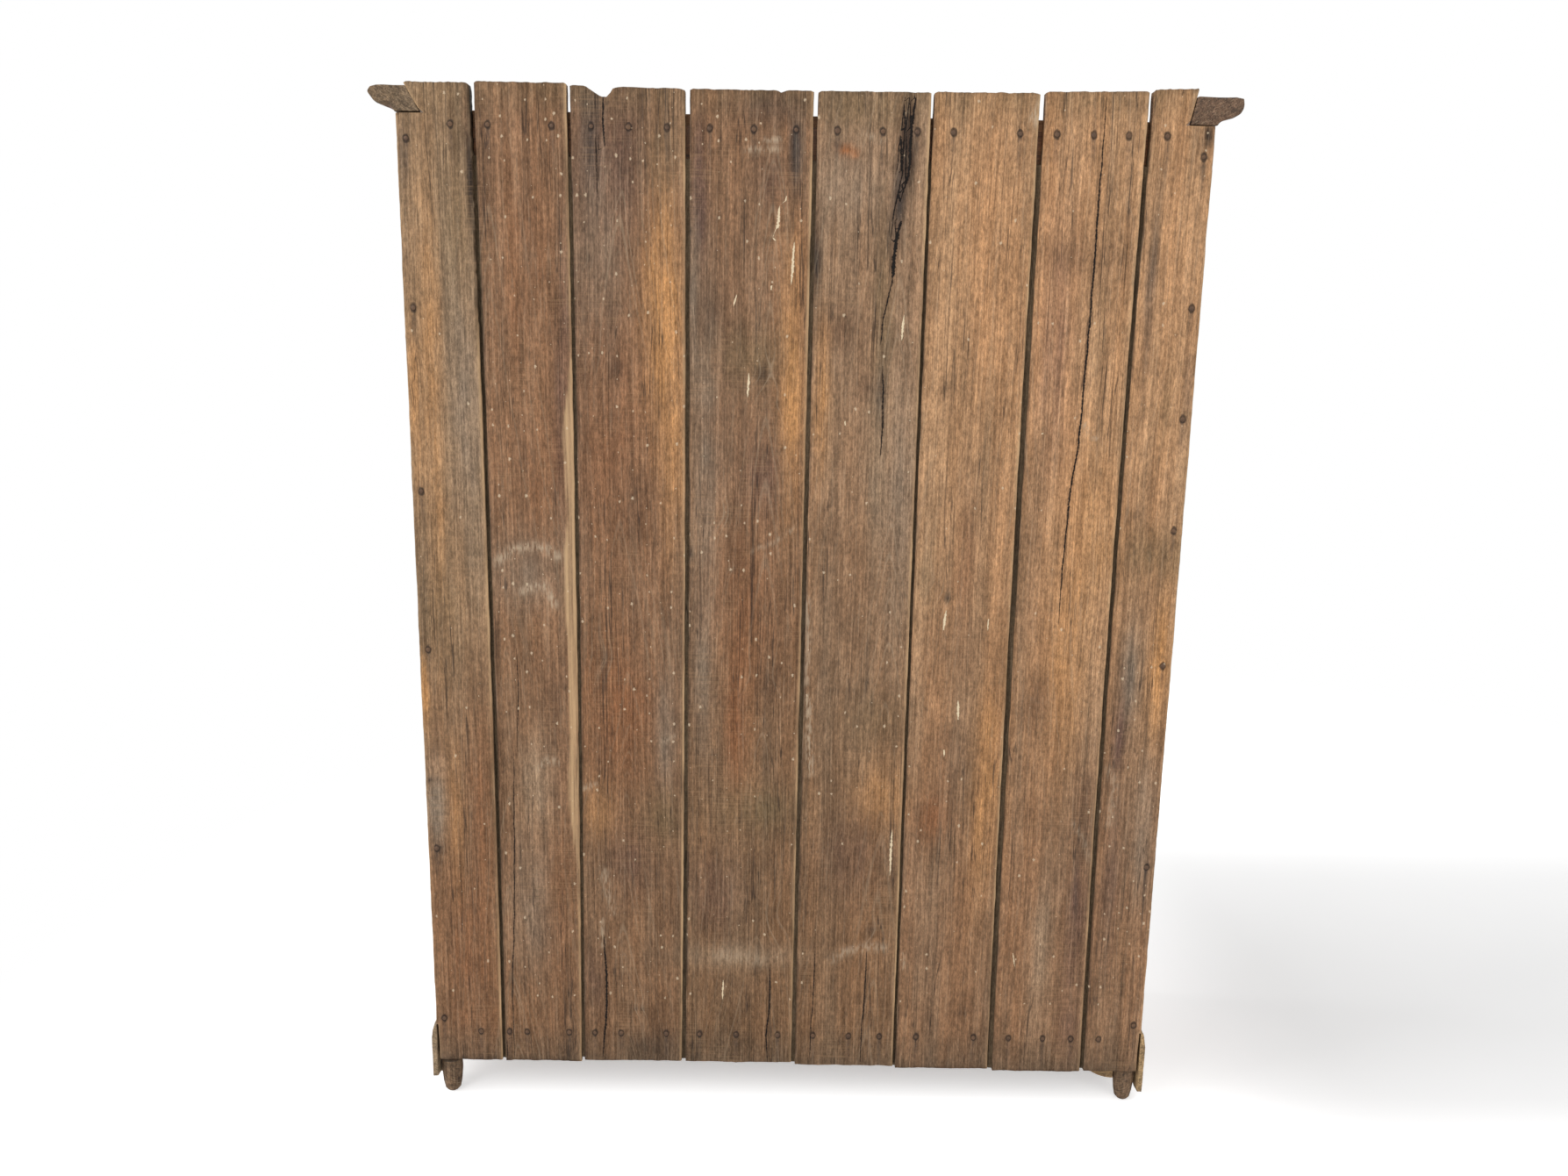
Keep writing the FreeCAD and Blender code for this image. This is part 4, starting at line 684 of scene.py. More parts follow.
# The axis that the grain runs along, where it isn't Z, by the start of the node's name
GRAIN_AXES = {
    "cornice_front": 0, "skirt_front": 0, "rail": 0, "top_panel": 0, "bottom_panel": 0,
    "shelf": 0, "cleats": 1, "side_rails": 1, "cornice": 1, "skirt": 1, "rear_bracket": 0,
    "door_left_top_rail": 0, "door_right_top_rail": 0,
    "door_left_bottom_rail": 0, "door_right_bottom_rail": 0,
}


def by_start(table, node, otherwise):
    """The first value in a table whose name a node's name starts with."""
    return next((value for start, value in table.items() if node.startswith(start)), otherwise)


def wooden_piece(node, ease_width):
    """A teak piece with eased edges, its grain along its length and a log place of its own."""
    bm = eased_copy(node, ease_width)
    if node in ("cornice_left", "cornice_right", "skirt_left", "skirt_right"):
        gnaw_end(bm, node)
    split_faces(bm)
    number, count = islands(bm)
    mesh = poured(bm, node + "_worked")
    places = vertices(mesh)
    turned = np.roll(places, 2 - by_start(GRAIN_AXES, node, 2), axis=1)
    pick = np.random.default_rng(sum(map(ord, node)))
    reaches = ((-0.06, 0.06), (0.03, 0.16), (0, 9))
    hearts = np.stack([pick.uniform(low, high, count) for low, high in reaches], 1)
    lean = pick.uniform(-0.012, 0.012, (count, 2))
    centres = np.stack([turned[number == i].mean(0) for i in range(count)])
    log = turned - centres[number] + hearts[number]
    log[:, :2] += lean[number] * (turned[:, 2:] - centres[number][:, 2:])
    write(mesh, "log", "FLOAT_VECTOR", log)
    bare = by_start(BARE_ENDS, node, None)
    if bare:
        share = ease(places[:, 1], 0.16, 0.225)
        if node.startswith("post"):
            share = share * (1 - 0.4 * ease(places[:, 2], 0.08, 0.2))
        write(mesh, "raw", "FLOAT_COLOR", np.tile((*bare, 1.0), (len(places), 1)))
        write(mesh, "weathered", "FLOAT", share)
    add_piece(node + "_worked", mesh, [node])


# ---------------------------------------------------------------- back boards
# Joints from the +X end: place at the board tops, at the feet, width, and how far its middle bows
JOINTS = (
    (609.0, 608.25, 6.5, -3.5), (434.25, 440.25, 5.85, -4.5), (216.75, 225.75, 7.15, -3.0),
    (-17.25, -8.25, 7.15, 0.0), (-230.25, -225.0, 4.9, 1.5), (-431.25, -431.25, 9.4, 4.0),
    (-629.25, -629.25, 7.15, 7.0),
)
# The height of each board's top at its +X edge and its -X edge, and of its foot
TOPS = (
    (2048.0, 2048.0), (2050.0, 2050.0), (2047.0, 2043.0), (2043.5, 2044.0),
    (2044.0, 2044.5), (2045.5, 2046.5), (2049.0, 2053.0), (2056.0, 2059.0),
)
FEET = (85.1, 84.5, 87.9, 86.9, 83.0, 78.9, 75.0, 77.1)
LAST = len(FEET) - 1
# How far the outer boards' crown notches reach in, at their foot and their head
CROWN_CUTS = {0: (46.5, 17.0), LAST: (48.0, 34.0)}
# The boards' mesh: the height of its rows and the width of its columns, the gap between the two
# rows of a step, and how far the uneven top and foot reach down and up
ROW_HEIGHT, COLUMN_WIDTH, STEP_GAP, TOP_REACH, FOOT_REACH = 8, 5, 0.2, 90, 40


def joint_x(joint, height, side):
    """The edge of the board on one side of a joint, in millimetres."""
    top, foot, gap, bow = JOINTS[joint]
    rise = np.asarray(height, float) / BOARD_HEIGHT
    return foot + (top - foot) * rise + bow * 4 * rise * (1 - rise) + side * gap / 2


def board_edges(board, height):
    """Where the two edges of a board are at a height: its +X edge and its -X edge."""
    reach = HALF_WIDTH - 4 if height < SKIRT_NOTCH else HALF_WIDTH
    if height > CROWN_NOTCH and board in CROWN_CUTS:
        foot, head = CROWN_CUTS[board]
        top = TOPS[board][0 if board == 0 else 1]
        rise = (height - CROWN_NOTCH) / (top - CROWN_NOTCH)
        reach = HALF_WIDTH - (foot + (head - foot) * rise)
    near = float(joint_x(board - 1, height, -1)) if board > 0 else reach
    far = float(joint_x(board, height, 1)) if board < LAST else -reach
    return near, far


def board_rows(board):
    """The heights of a board's rows, with a close pair of rows at each step of its outline."""
    low, high = FEET[board], sum(TOPS[board]) / 2
    steps = {LAP_TOP} | ({SKIRT_NOTCH, CROWN_NOTCH} if board in CROWN_CUTS else set())
    marks = sorted({low, high} | steps)
    rows = []
    for start, end in zip(marks, marks[1:]):
        start += STEP_GAP if start in steps else 0
        end -= STEP_GAP if end in steps else 0
        rows += list(np.linspace(start, end, max(2, round((end - start) / ROW_HEIGHT))))
    return rows


def top_line(board, share):
    """How far a board's top is from its mean height, along its share from the +X edge."""
    near, far = TOPS[board]
    line = near + (far - near) * share - (near + far) / 2
    line += 0.7 * drift(900 + board, share * 200, 14) + 0.5 * drift(920 + board, share * 200, 5)
    line -= 2.2 * ease(np.abs(share - 0.5), 0.47, 0.5)
    if board == 2:
        line = line + np.interp(share, [0.13, 0.27, 0.33, 0.37, 0.45], [0, -18, -19, -3.5, 0])
    if board == 3:
        line = line - 4.0 * bell(share - 0.74, 0.025)
    return line


def foot_line(board, share):
    line = 1.0 * drift(940 + board, share * 200, 22) + 0.5 * drift(960 + board, share * 200, 6)
    return line + 0.3 * ease(np.abs(share - 0.5), 0.47, 0.5)


# How far in from a board's edge the corners of its rounded arris are, how deep the arris is and
# how far in from it the flat face starts, in millimetres
ARRIS = np.array([0.0, 0.35, 0.9, 1.9, 3.4])
ARRIS_DEPTH, FACE_START = 5, 6


def rounding(distance, radius):
    """How far a rounded arris has fallen at a distance from the board's edge."""
    short = np.clip(1 - distance / radius, 0, 1)
    return radius * (1 - np.sqrt(1 - short * short))


def board_section(board, height, columns):
    """The closed outline of a board at a height, as x and y, from the +X arris round."""
    near, far = board_edges(board, height)
    whole_near = max(near, HALF_WIDTH) if board == 0 else near
    whole_far = min(far, -HALF_WIDTH) if board == LAST else far
    gnawed = 1 + (4 * ease(height, 1560, 1700) if board == 0 else 0)
    nick = 6.5 * max(0.0, 1 - (height - CROWN_NOTCH) / 10) if height > CROWN_NOTCH else 0.0
    near -= nick if board == 0 else 0.0
    far += nick if board == LAST else 0.0
    near -= 0.5 + 0.5 * drift(board * 2, height, 40) + 0.3 * drift(board * 2 + 40, height, 11)
    far += 0.5 + 0.5 * drift(board * 2 + 1, height, 40)
    far += gnawed * (0.3 + 0.3 * drift(board * 2 + 41, height, 11)) - 0.3
    round_near = 1.6 + 0.9 * drift(60 + board, height, 55)
    round_far = 2.2 + 1.4 * drift(80 + board, height, 70)
    spare = FACE_START + 0.02 * np.arange(columns)
    inner = np.linspace(whole_near - FACE_START, whole_far + FACE_START, columns)
    inner = np.minimum(np.maximum(inner, far + spare[::-1]), near - spare)
    x = np.concatenate([near - ARRIS, inner, (far + ARRIS)[::-1]])
    y = OUTER_FACE - rounding(near - x, round_near) - rounding(x - far, round_far)
    y -= 0.35 + 0.25 * cloud(100 + board, x, np.full_like(x, height), 60, 300)
    lapped = height < LAP_TOP
    behind_far = far + (10 if lapped and board < LAST else 0)
    behind_near = float(joint_x(board - 1, height, 1)) + 9 if lapped and board > 0 else near
    wall = OUTER_FACE - ARRIS_DEPTH
    inside = np.linspace(behind_far, behind_near, 8)[1:]
    sections = (
        (x, y),
        ([far, far, behind_far, behind_far], [wall, LAP_FACE, LAP_FACE, INNER_FACE]),
        (inside, [INNER_FACE] * len(inside)),
        ([behind_near, near, near], [LAP_FACE, LAP_FACE, wall]),
    )
    return [np.concatenate(parts) for parts in zip(*sections)]


def board_shell(board):
    """A back board as one closed form, lofted from section to section up its height."""
    rows = board_rows(board)
    low, high = rows[0], rows[-1]
    near, far = board_edges(board, 1000.0)
    columns = round((near - far) / COLUMN_WIDTH)
    places = []
    for height in rows:
        x, y = board_section(board, height, columns)
        share = np.clip((x.max() - x) / (x.max() - x.min()), 0, 1)
        z = np.full_like(x, height)
        z += top_line(board, share) * ease(height, high - TOP_REACH, high)
        z += foot_line(board, share) * (1 - ease(height, low, low + FOOT_REACH))
        places.append(np.stack([x, y, z], 1))
    size = len(places[0])
    faces = []
    for row in range(len(rows) - 1):
        for i in range(size):
            a, b = row * size + i, row * size + (i + 1) % size
            faces.append((a, b, b + size, a + size))
    faces.append(tuple(range(size))[::-1])
    faces.append(tuple(range((len(rows) - 1) * size, len(rows) * size)))
    name = f"back_board_{board + 1}_weathered"
    mesh = bpy.data.meshes.new(name)
    mesh.from_pydata(np.concatenate(places) * MM, [], faces)
    bm = bmesh.new()
    bm.from_mesh(mesh)
    bmesh.ops.dissolve_degenerate(bm, dist=MERGE, edges=bm.edges)
    bmesh.ops.recalc_face_normals(bm, faces=bm.faces)
    bmesh.ops.triangulate(bm, faces=[f for f in bm.faces if len(f.verts) > 4])
    for face in bm.faces:
        face.smooth = face.normal.y > 0.3
    bm.to_mesh(mesh)
    bm.free()
    return mesh

# Each board's own shade, at its head and its foot, how far its rings' middle is from its own, in
# millimetres, and how much the rings lean across it for each millimetre of its height
BOARD_LOGS = (
    (shade(148, 120, 92), BROWN, 130, 0.10), (DRAB, BROWN, -60, 0.13),
    (shade(130, 98, 74), BROWN, -12, 0.16), (DRAB, shade(124, 94, 68), 40, 0.14),
    (shade(150, 119, 92), shade(128, 98, 72), 48, 0.17), (CLAY, DUN, 150, 0.10),
    (CLAY, DUN, -140, 0.12), (CLAY, DUN, 130, 0.10),
)

# Soft stains seen from behind: place to the right and height, half width and half height in
# millimetres, shade and strength
STAINS = (
    (-702, 1500, 16, 380, HONEY, 0.42), (-738, 1470, 10, 130, HONEY, 0.5),
    (-642, 1480, 26, 210, GREY, 0.55), (-640, 1800, 30, 130, OLIVE, 0.35),
    (-617, 1900, 7, 110, SOOT, 0.7), (-620, 2010, 8, 40, UMBER, 0.6),
    (-742, 1915, 9, 45, SLATE, 0.4), (-730, 655, 17, 62, GREY, 0.9), (-724, 745, 18, 20, FAWN, 0.7),
    (-672, 300, 42, 190, RUSSET, 0.45), (-640, 620, 20, 210, RUSSET, 0.4),
    (-742, 900, 7, 60, HONEY, 0.8), (-700, 1040, 50, 110, OLIVE, 0.3),
    (-690, 640, 14, 110, HONEY, 0.3), (-460, 1420, 11, 150, PLUM, 0.55),
    (-447, 1650, 9, 130, PLUM, 0.45), (-530, 1150, 55, 60, GREY, 0.5),
    (-515, 700, 32, 95, ASH, 0.4), (-540, 450, 38, 120, GREY, 0.5),
    (-480, 560, 28, 300, RUSSET, 0.3), (-520, 1740, 50, 150, RUSSET, 0.3),
    (-500, 1330, 60, 120, RUSSET, 0.25), (-590, 1900, 12, 120, UMBER, 0.3),
    (-490, 900, 40, 90, UMBER, 0.3), (-396, 1930, 24, 65, SLATE, 0.65),
    (-330, 1910, 55, 110, PLUM, 0.45), (-392, 2020, 26, 25, SLATE, 0.5),
    (-385, 1740, 45, 140, GREY, 0.35), (-258, 1640, 34, 180, HONEY, 0.8),
    (-240, 1370, 24, 160, HONEY, 0.45), (-262, 1940, 34, 60, OLIVE, 0.45),
    (-345, 860, 62, 120, RUSSET, 0.65), (-350, 1450, 60, 200, RUSSET, 0.3),
    (-262, 820, 16, 90, GREY, 0.6), (-270, 640, 34, 45, OLIVE, 0.5),
    (-400, 650, 26, 45, HONEY, 0.35), (-335, 540, 34, 60, PLUM, 0.4),
    (-412, 270, 20, 60, PLUM, 0.3), (-285, 120, 45, 30, SOOT, 0.4),
    (-300, 1280, 40, 60, UMBER, 0.3), (-195, 1860, 13, 110, PLUM, 0.8),
    (-206, 1650, 9, 130, GREY, 0.7), (-170, 1640, 30, 70, UMBER, 0.5),
    (-18, 1935, 10, 60, SLATE, 0.85), (-60, 2020, 60, 26, PLUM, 0.6),
    (-60, 1890, 24, 40, PLUM, 0.35), (-18, 1520, 18, 190, HONEY, 0.75),
    (-95, 1570, 60, 45, OLIVE, 0.4), (-182, 1350, 26, 250, GREY, 0.5),
    (-70, 1340, 34, 60, PLUM, 0.45), (-100, 1080, 60, 170, RUSSET, 0.4),
    (-120, 850, 18, 130, RUSSET, 0.6), (-70, 660, 70, 42, OLIVE, 0.5),
    (-160, 470, 46, 80, PLUM, 0.35), (-110, 335, 110, 22, ASH, 0.25),
    (-185, 930, 16, 110, GREY, 0.5), (110, 2010, 80, 30, OLIVE, 0.4),
    (80, 1880, 60, 60, GREY, 0.35), (188, 1960, 12, 90, SOOT, 0.85), (172, 1860, 9, 60, SLATE, 0.8),
    (162, 1800, 8, 60, SLATE, 0.55), (152, 1620, 15, 160, OLIVE, 0.55),
    (152, 1500, 9, 40, SOOT, 0.7), (130, 1515, 24, 18, UMBER, 0.45), (150, 1330, 20, 150, ASH, 0.3),
    (24, 1750, 9, 70, SOOT, 0.65), (62, 1625, 48, 40, UMBER, 0.45),
    (40, 1480, 14, 110, HONEY, 0.55), (74, 1943, 11, 7, RUST, 0.6), (92, 1936, 8, 6, RUST, 0.45),
    (60, 1950, 9, 6, UMBER, 0.5), (180, 690, 46, 60, HONEY, 0.35), (160, 850, 50, 50, OLIVE, 0.35),
    (125, 560, 60, 80, PLUM, 0.3), (190, 1300, 22, 190, GREY, 0.35),
    (90, 1180, 60, 110, BROWN, 0.4), (330, 1160, 20, 130, RUSSET, 0.4),
    (392, 720, 26, 190, HONEY, 0.55), (320, 790, 30, 60, UMBER, 0.45),
    (285, 650, 34, 50, RUSSET, 0.5), (250, 1150, 18, 60, OLIVE, 0.3),
    (330, 980, 60, 60, BROWN, 0.4), (480, 1600, 30, 190, shade(158, 118, 92), 0.5),
    (492, 1762, 32, 28, UMBER, 0.4), (570, 1760, 34, 34, UMBER, 0.25),
    (540, 980, 34, 170, HONEY, 0.45), (575, 1240, 34, 120, HONEY, 0.4),
    (487, 890, 24, 50, UMBER, 0.45), (596, 650, 20, 110, UMBER, 0.6), (592, 460, 18, 80, PLUM, 0.6),
    (592, 240, 20, 130, PLUM, 0.45), (518, 350, 14, 120, ASH, 0.3),
    (455, 1150, 18, 200, BROWN, 0.4), (652, 1710, 9, 120, SLATE, 0.5),
    (738, 1978, 9, 22, SOOT, 0.6), (700, 1200, 60, 45, OLIVE, 0.45), (668, 950, 16, 90, GREY, 0.7),
    (655, 830, 12, 80, PLUM, 0.6), (660, 500, 15, 130, PLUM, 0.45), (726, 960, 16, 110, HONEY, 0.8),
    (722, 620, 24, 140, GREY, 0.45), (738, 1520, 8, 70, SLATE, 0.4),
    (700, 1480, 12, 60, OLIVE, 0.3),
)

# Splits: the points that one runs through, seen from behind, and its half width in millimetres
SPLITS = (
    (((-601, 140), (-600, 82)), 0.8),
    (((-586, 85), (-586, 250), (-577, 420), (-572, 600), (-568, 780)), 1.0),
    (((-398, 88), (-392, 150), (-387, 220), (-388, 300), (-392, 380)), 2.0),
    (((-370, 2030), (-372, 1985), (-368, 1940)), 1.6),
    (((-386, 1960), (-384, 1900), (-382, 1850)), 0.9),
    (((-46, 85), (-50, 150), (-43, 220), (-42, 320)), 1.4),
    (((45, 84), (46, 180), (50, 270), (52, 360)), 1.0),
    (((153, 84), (154, 170), (158, 260), (160, 350)), 1.2),
    (((199, 2044), (192, 1980), (190, 1900), (176, 1850)), 2.6),
    (((188, 2044), (180, 1960), (178, 1900), (166, 1840), (160, 1780)), 1.4),
    (((180, 2044), (172, 1960), (168, 1900)), 1.0),
    (((181, 1826), (174, 1796), (169, 1760), (167, 1705)), 3.4),
    (((168, 1720), (152, 1640), (148, 1590)), 1.2),
    (((154, 1560), (156, 1500), (158, 1450), (154, 1380)), 1.4),
    (((547, 2050), (544, 1850), (541, 1600), (536, 1420), (525, 1320), (520, 1180), (518,
     1050)), 1.6),
    (((-556, 1000), (-556, 900), (-560, 780)), 0.7), (((498, 300), (512, 285)), 0.5),
)

# Fresh scratches down to pale wood: both ends, seen from behind, and half width in millimetres
SCRATCHES = (
    (-46, 1842, -51, 1785, 3.0), (-18, 1777, -22, 1705, 2.4), (-33, 1862, -35, 1850, 1.6),
    (-59, 1705, -60, 1690, 2.2), (-124, 1682, -130, 1660, 1.6), (-100, 1536, -102, 1492, 2.2),
    (191, 1648, 188, 1602, 2.2), (85, 1455, 86, 1440, 1.5), (295, 1082, 291, 1040, 2.4),
    (379, 1068, 379, 1042, 1.6), (326, 898, 329, 855, 2.4), (302, 798, 303, 778, 1.8),
    (203, 616, 202, 520, 2.4), (-141, 278, -143, 232, 1.8), (-21, 1996, -20, 1988, 2.0),
    (468, 1432, 460, 1430, 2.0), (-59, 1786, -52, 1780, 1.6), (465, 350, 472, 318, 1.2),
)

# Chalky scuffs: the points that one runs through, half width and strength
SCUFFS = (
    (((-590, 1165), (-560, 1190), (-520, 1198), (-490, 1192), (-470, 1178)), 8, 0.8),
    (((-542, 1108), (-520, 1115), (-500, 1122), (-485, 1095), (-480, 1080)), 7, 0.9),
    (((-110, 1942), (-80, 1938), (-50, 1944)), 5, 0.7), (((-75, 1955), (-50, 1958)), 4, 0.8),
    (((100, 1970), (118, 1966), (140, 1958)), 4, 0.7),
    (((-90, 1196), (-50, 1210), (-10, 1240)), 3, 0.5),
    (((-520, 740), (-500, 760), (-480, 755)), 6, 0.7),
    (((430, 2030), (415, 2005), (428, 1990)), 7, 0.9), (((25, 900), (28, 820), (34, 740)), 7, 0.8),
    (((20, 1100), (24, 1000), (22, 930)), 5, 0.6),
    (((-390, 520), (-380, 460), (-370, 430)), 9, 0.5), (((-395, 410), (-393, 350)), 4, 0.7),
    (((-110, 330), (-60, 322), (-150, 335)), 12, 0.35),
    (((90, 330), (110, 345), (170, 360), (195, 355)), 9, 0.55), (((235, 345), (238, 310)), 3, 0.8),
    (((465, 900), (500, 898)), 2.5, 0.8), (((545, 1450), (555, 1430), (570, 1425)), 3, 0.8),
    (((-270, 800), (-245, 812)), 4, 0.6), (((-430, 700), (-405, 708)), 5, 0.7),
    (((575, 640), (600, 600), (612, 560)), 5, 0.4), (((640, 760), (655, 720), (648, 640)), 8, 0.4),
)

# Knots and swirls: place, radius and how dark the heart of it is
KNOTS = (
    (-352, 1540, 17, 0.5), (-74, 1535, 16, 0.55), (-378, 975, 16, 0.45), (-60, 930, 30, 0.25),
    (-212, 1190, 10, 0.9), (296, 1107, 8, 1.0), (278, 1140, 16, 0.2), (168, 396, 12, 0.7),
    (-40, 420, 24, 0.15), (-140, 1265, 14, 0.3), (150, 1275, 12, 0.2), (-724, 566, 8, 0.8),
    (390, 1612, 10, 0.35), (275, 1515, 12, 0.35), (-212, 1795, 5, 1.0), (622, 1716, 5, 0.9),
    (-741, 713, 5, 1.0), (-730, 183, 8, 0.6), (-327, 210, 6, 0.75), (-313, 210, 6, 0.75),
    (360, 210, 4, 0.9), (372, 210, 4, 0.9), (-165, 780, 6, 0.7), (-110, 635, 7, 0.45),
    (365, 284, 4, 0.7), (-400, 1740, 9, 0.45), (-128, 1160, 6, 0.3), (605, 1860, 9, 0.3),
    (-45, 1480, 6, 0.5), (-40, 1390, 6, 0.5), (732, 1922, 5, 0.8), (660, 1280, 14, 0.25),
)

# How much stronger the stains are than their rows say, and how thick each board's specks are
STAIN_STRENGTH = 1.35
SPECKS = (0.12, 0.42, 0.42, 0.26, 0.18, 0.08, 0.12, 0.2)

# How far from its middle each kind of mark reaches at most, in millimetres
SPLIT_ZONE, SCRATCH_ZONE, NAIL_ZONE, DRIP_LENGTH = 11, 14, 17, 110


def beside(offset, half_width, inside, best):
    """Takes a line's offsets and half widths where it is the nearest so far."""
    signed, width, distance = best
    return (
        np.where(inside, offset, signed),
        np.where(inside, half_width, width),
        np.where(inside, np.abs(offset), distance),
    )


def beside_nothing(across):
    return np.full(across.shape, 1000.0), np.zeros(across.shape), np.full(across.shape, 9e9)


def beside_splits(across, along):
    """How far each place is beside the nearest split, and that split's half width there."""
    best = beside_nothing(across)
    for points, half_width in SPLITS:
        x, z = np.array(sorted(points, key=lambda point: point[1]), float).T
        wander = 0.8 * drift(int(z[0]), along, 26) + 0.3 * drift(int(z[0]) + 7, along, 8)
        beyond = np.maximum(z[0] - along, along - z[-1])
        taper = np.clip(-beyond / max(6.0, 0.25 * (z[-1] - z[0])), 0, 1)
        gap = across - (np.interp(along, z, x) + wander)
        inside = (beyond < 0) & (np.abs(gap) < SPLIT_ZONE) & (np.abs(gap) < best[2])
        best = beside(gap, half_width * np.sqrt(taper), inside, best)
    return best[:2]


def beside_scratches(across, along):
    """How far each place is beside the scratch that it lies by, and that scratch's half width."""
    best = beside_nothing(across)
    for x0, z0, x1, z1, half_width in SCRATCHES:
        run = np.array([x1 - x0, z1 - z0], float)
        length = np.hypot(*run)
        share = ((across - x0) * run[0] + (along - z0) * run[1]) / length**2
        side = ((across - x0) * run[1] - (along - z0) * run[0]) / length
        side = side + 0.6 * drift(int(z0), share * length, 14)
        inside = (share > -0.1) & (share < 1.1) & (np.abs(side) < SCRATCH_ZONE)
        width = half_width * np.sqrt(np.clip(4 * share * (1 - share), 0, 1))
        best = beside(side, width, inside, best)
    return best[:2]


def blob(across, along, x, z, half_width, half_height):
    return np.exp(-(((across - x) / half_width) ** 2) - ((along - z) / half_height) ** 2)


def near_polyline(across, along, points, half_width):
    """A soft mask along a chain of points."""
    best = np.full(across.shape, 9e9)
    for (x0, z0), (x1, z1) in zip(points, points[1:]):
        run = np.array([x1 - x0, z1 - z0], float)
        share = np.clip(((across - x0) * run[0] + (along - z0) * run[1]) / (run @ run), 0, 1)
        away = np.hypot(across - x0 - share * run[0], along - z0 - share * run[1])
        best = np.minimum(best, away)
    return bell(best, half_width)


def laid(tone, share, tint):
    """A tone with a tint over it, by a share for each place."""
    share = np.clip(share, 0, 1)[:, None]
    return tone * (1 - share) + np.array(tint) * share


class Board:
    """The places of one board's mesh, in millimetres, as they are seen from behind."""

    def __init__(self, board, mesh):
        self.board = board
        self.x, self.y, self.z = (vertices(mesh) / MM).T
        self.seen = -self.x
        near, far = np.array([board_edges(board, height) for height in range(2100)]).T
        level = np.clip(self.z.astype(int), 0, 2099)
        self.from_near, self.from_far = near[level] - self.x, self.x - far[level]
        self.from_middle = self.from_near - (near[level] - far[level]) / 2
        self.top = sum(TOPS[board]) / 2
        self.face = self.y > OUTER_FACE - 4.5
        self.ragged = 1 + 0.35 * self.cloud(300, 14, 60)

    def cloud(self, seed, width, length):
        return cloud(seed + self.board, self.seen, self.z, width, length)

    def clouds(self, *layers):
        """A sum of clouds, each given by its weight, seed, width and length."""
        return sum(weight * self.cloud(*layer) for weight, *layer in layers)

    def drift(self, seed, length):
        return drift(seed + self.board, self.z, length)


def board_tone(own):
    """The shade of each place of a board: its wood, stains, joints and the tone of its ends."""
    board, z = own.board, own.z
    head, foot, _, _ = BOARD_LOGS[board]
    tone = laid(np.array(foot), ease(z + 60 * own.drift(0, 400), 500, 1500), head)
    streaks = own.clouds(
        (0.5, 200, 9, 260), (0.4, 220, 24, 500), (0.4, 240, 40, 90), (0.35, 250, 12, 34)
    )
    patches = own.clouds((0.6, 600, 45, 70), (0.5, 620, 120, 180), (0.35, 640, 16, 22))
    warm = own.clouds((1.0, 260, 30, 420), (0.5, 280, 12, 200))
    dimmed = np.array((0.945, 0.936, 0.922))
    tone = tone * (dimmed + 0.2 * streaks[:, None] + 0.13 * patches[:, None])
    tone = tone * (1 + warm[:, None] * np.array([0.05, -0.01, -0.07]))
    for x, height, half_width, half_height, stain, strength in STAINS:
        spot = blob(own.seen, z, x, height, half_width, half_height)
        tone = laid(tone, STAIN_STRENGTH * strength * spot**0.7 * own.ragged, stain)
    tone = laid(tone, 0.42 * ease(z, own.top - 75, own.top) * own.ragged, OLIVE)
    low = 0.38 * (1 - ease(z, 110, 185)) + 0.2 * (1 - ease(z, 88, 112)) * own.ragged
    tone = laid(tone, low, shade(84, 72, 58))
    knots = [dark * blob(own.seen, z, x, height, r * 0.8, r * 1.2) for x, height, r, dark in KNOTS]
    tone = laid(tone, np.max(knots, 0), SOOT)
    if board > 0:
        tone = laid(tone, bell(own.from_near, 3.5) * (0.45 + 0.35 * own.drift(500, 60)), SOOT)
    else:
        rot = bell(own.from_far, 6) * ease(z, 1500, 1680) * (0.75 + 0.5 * drift(510, z, 16))
        tone = laid(tone, rot, HOLLOW)
    recess = (~own.face & (own.y > LAP_FACE - 0.5) & (z < LAP_TOP + 30))[:, None]
    tone = np.where(recess, np.array(shade(112, 95, 74)), tone)
    ends = ((z > own.top - 0.5) | ~own.face)[:, None] & ~recess
    return np.clip(np.where(ends, tone * 0.8, tone), 0, 1)


def board_rings(own):
    """How far each place is from the middle of its growth rings, and how plainly they show."""
    _, _, heart, lean = BOARD_LOGS[own.board]
    away = own.from_middle - (heart + 14 * own.drift(400, 420) + 4 * own.drift(420, 120))
    ring = np.hypot(away, 7) + lean * own.z + 7 * own.drift(440, 300)
    shown = (0.16 + 0.16 * bell(away, 34)) * (0.7 + 0.6 * own.cloud(450, 60, 200))
    for x, height, radius, _ in KNOTS:
        spot = blob(own.seen, own.z, x, height, radius * 1.5, radius * 2.4)
        ring = ring + radius * spot
        shown = shown + 0.3 * spot
    return ring * MM + own.board * 3.7, np.clip(shown, 0, 0.6)


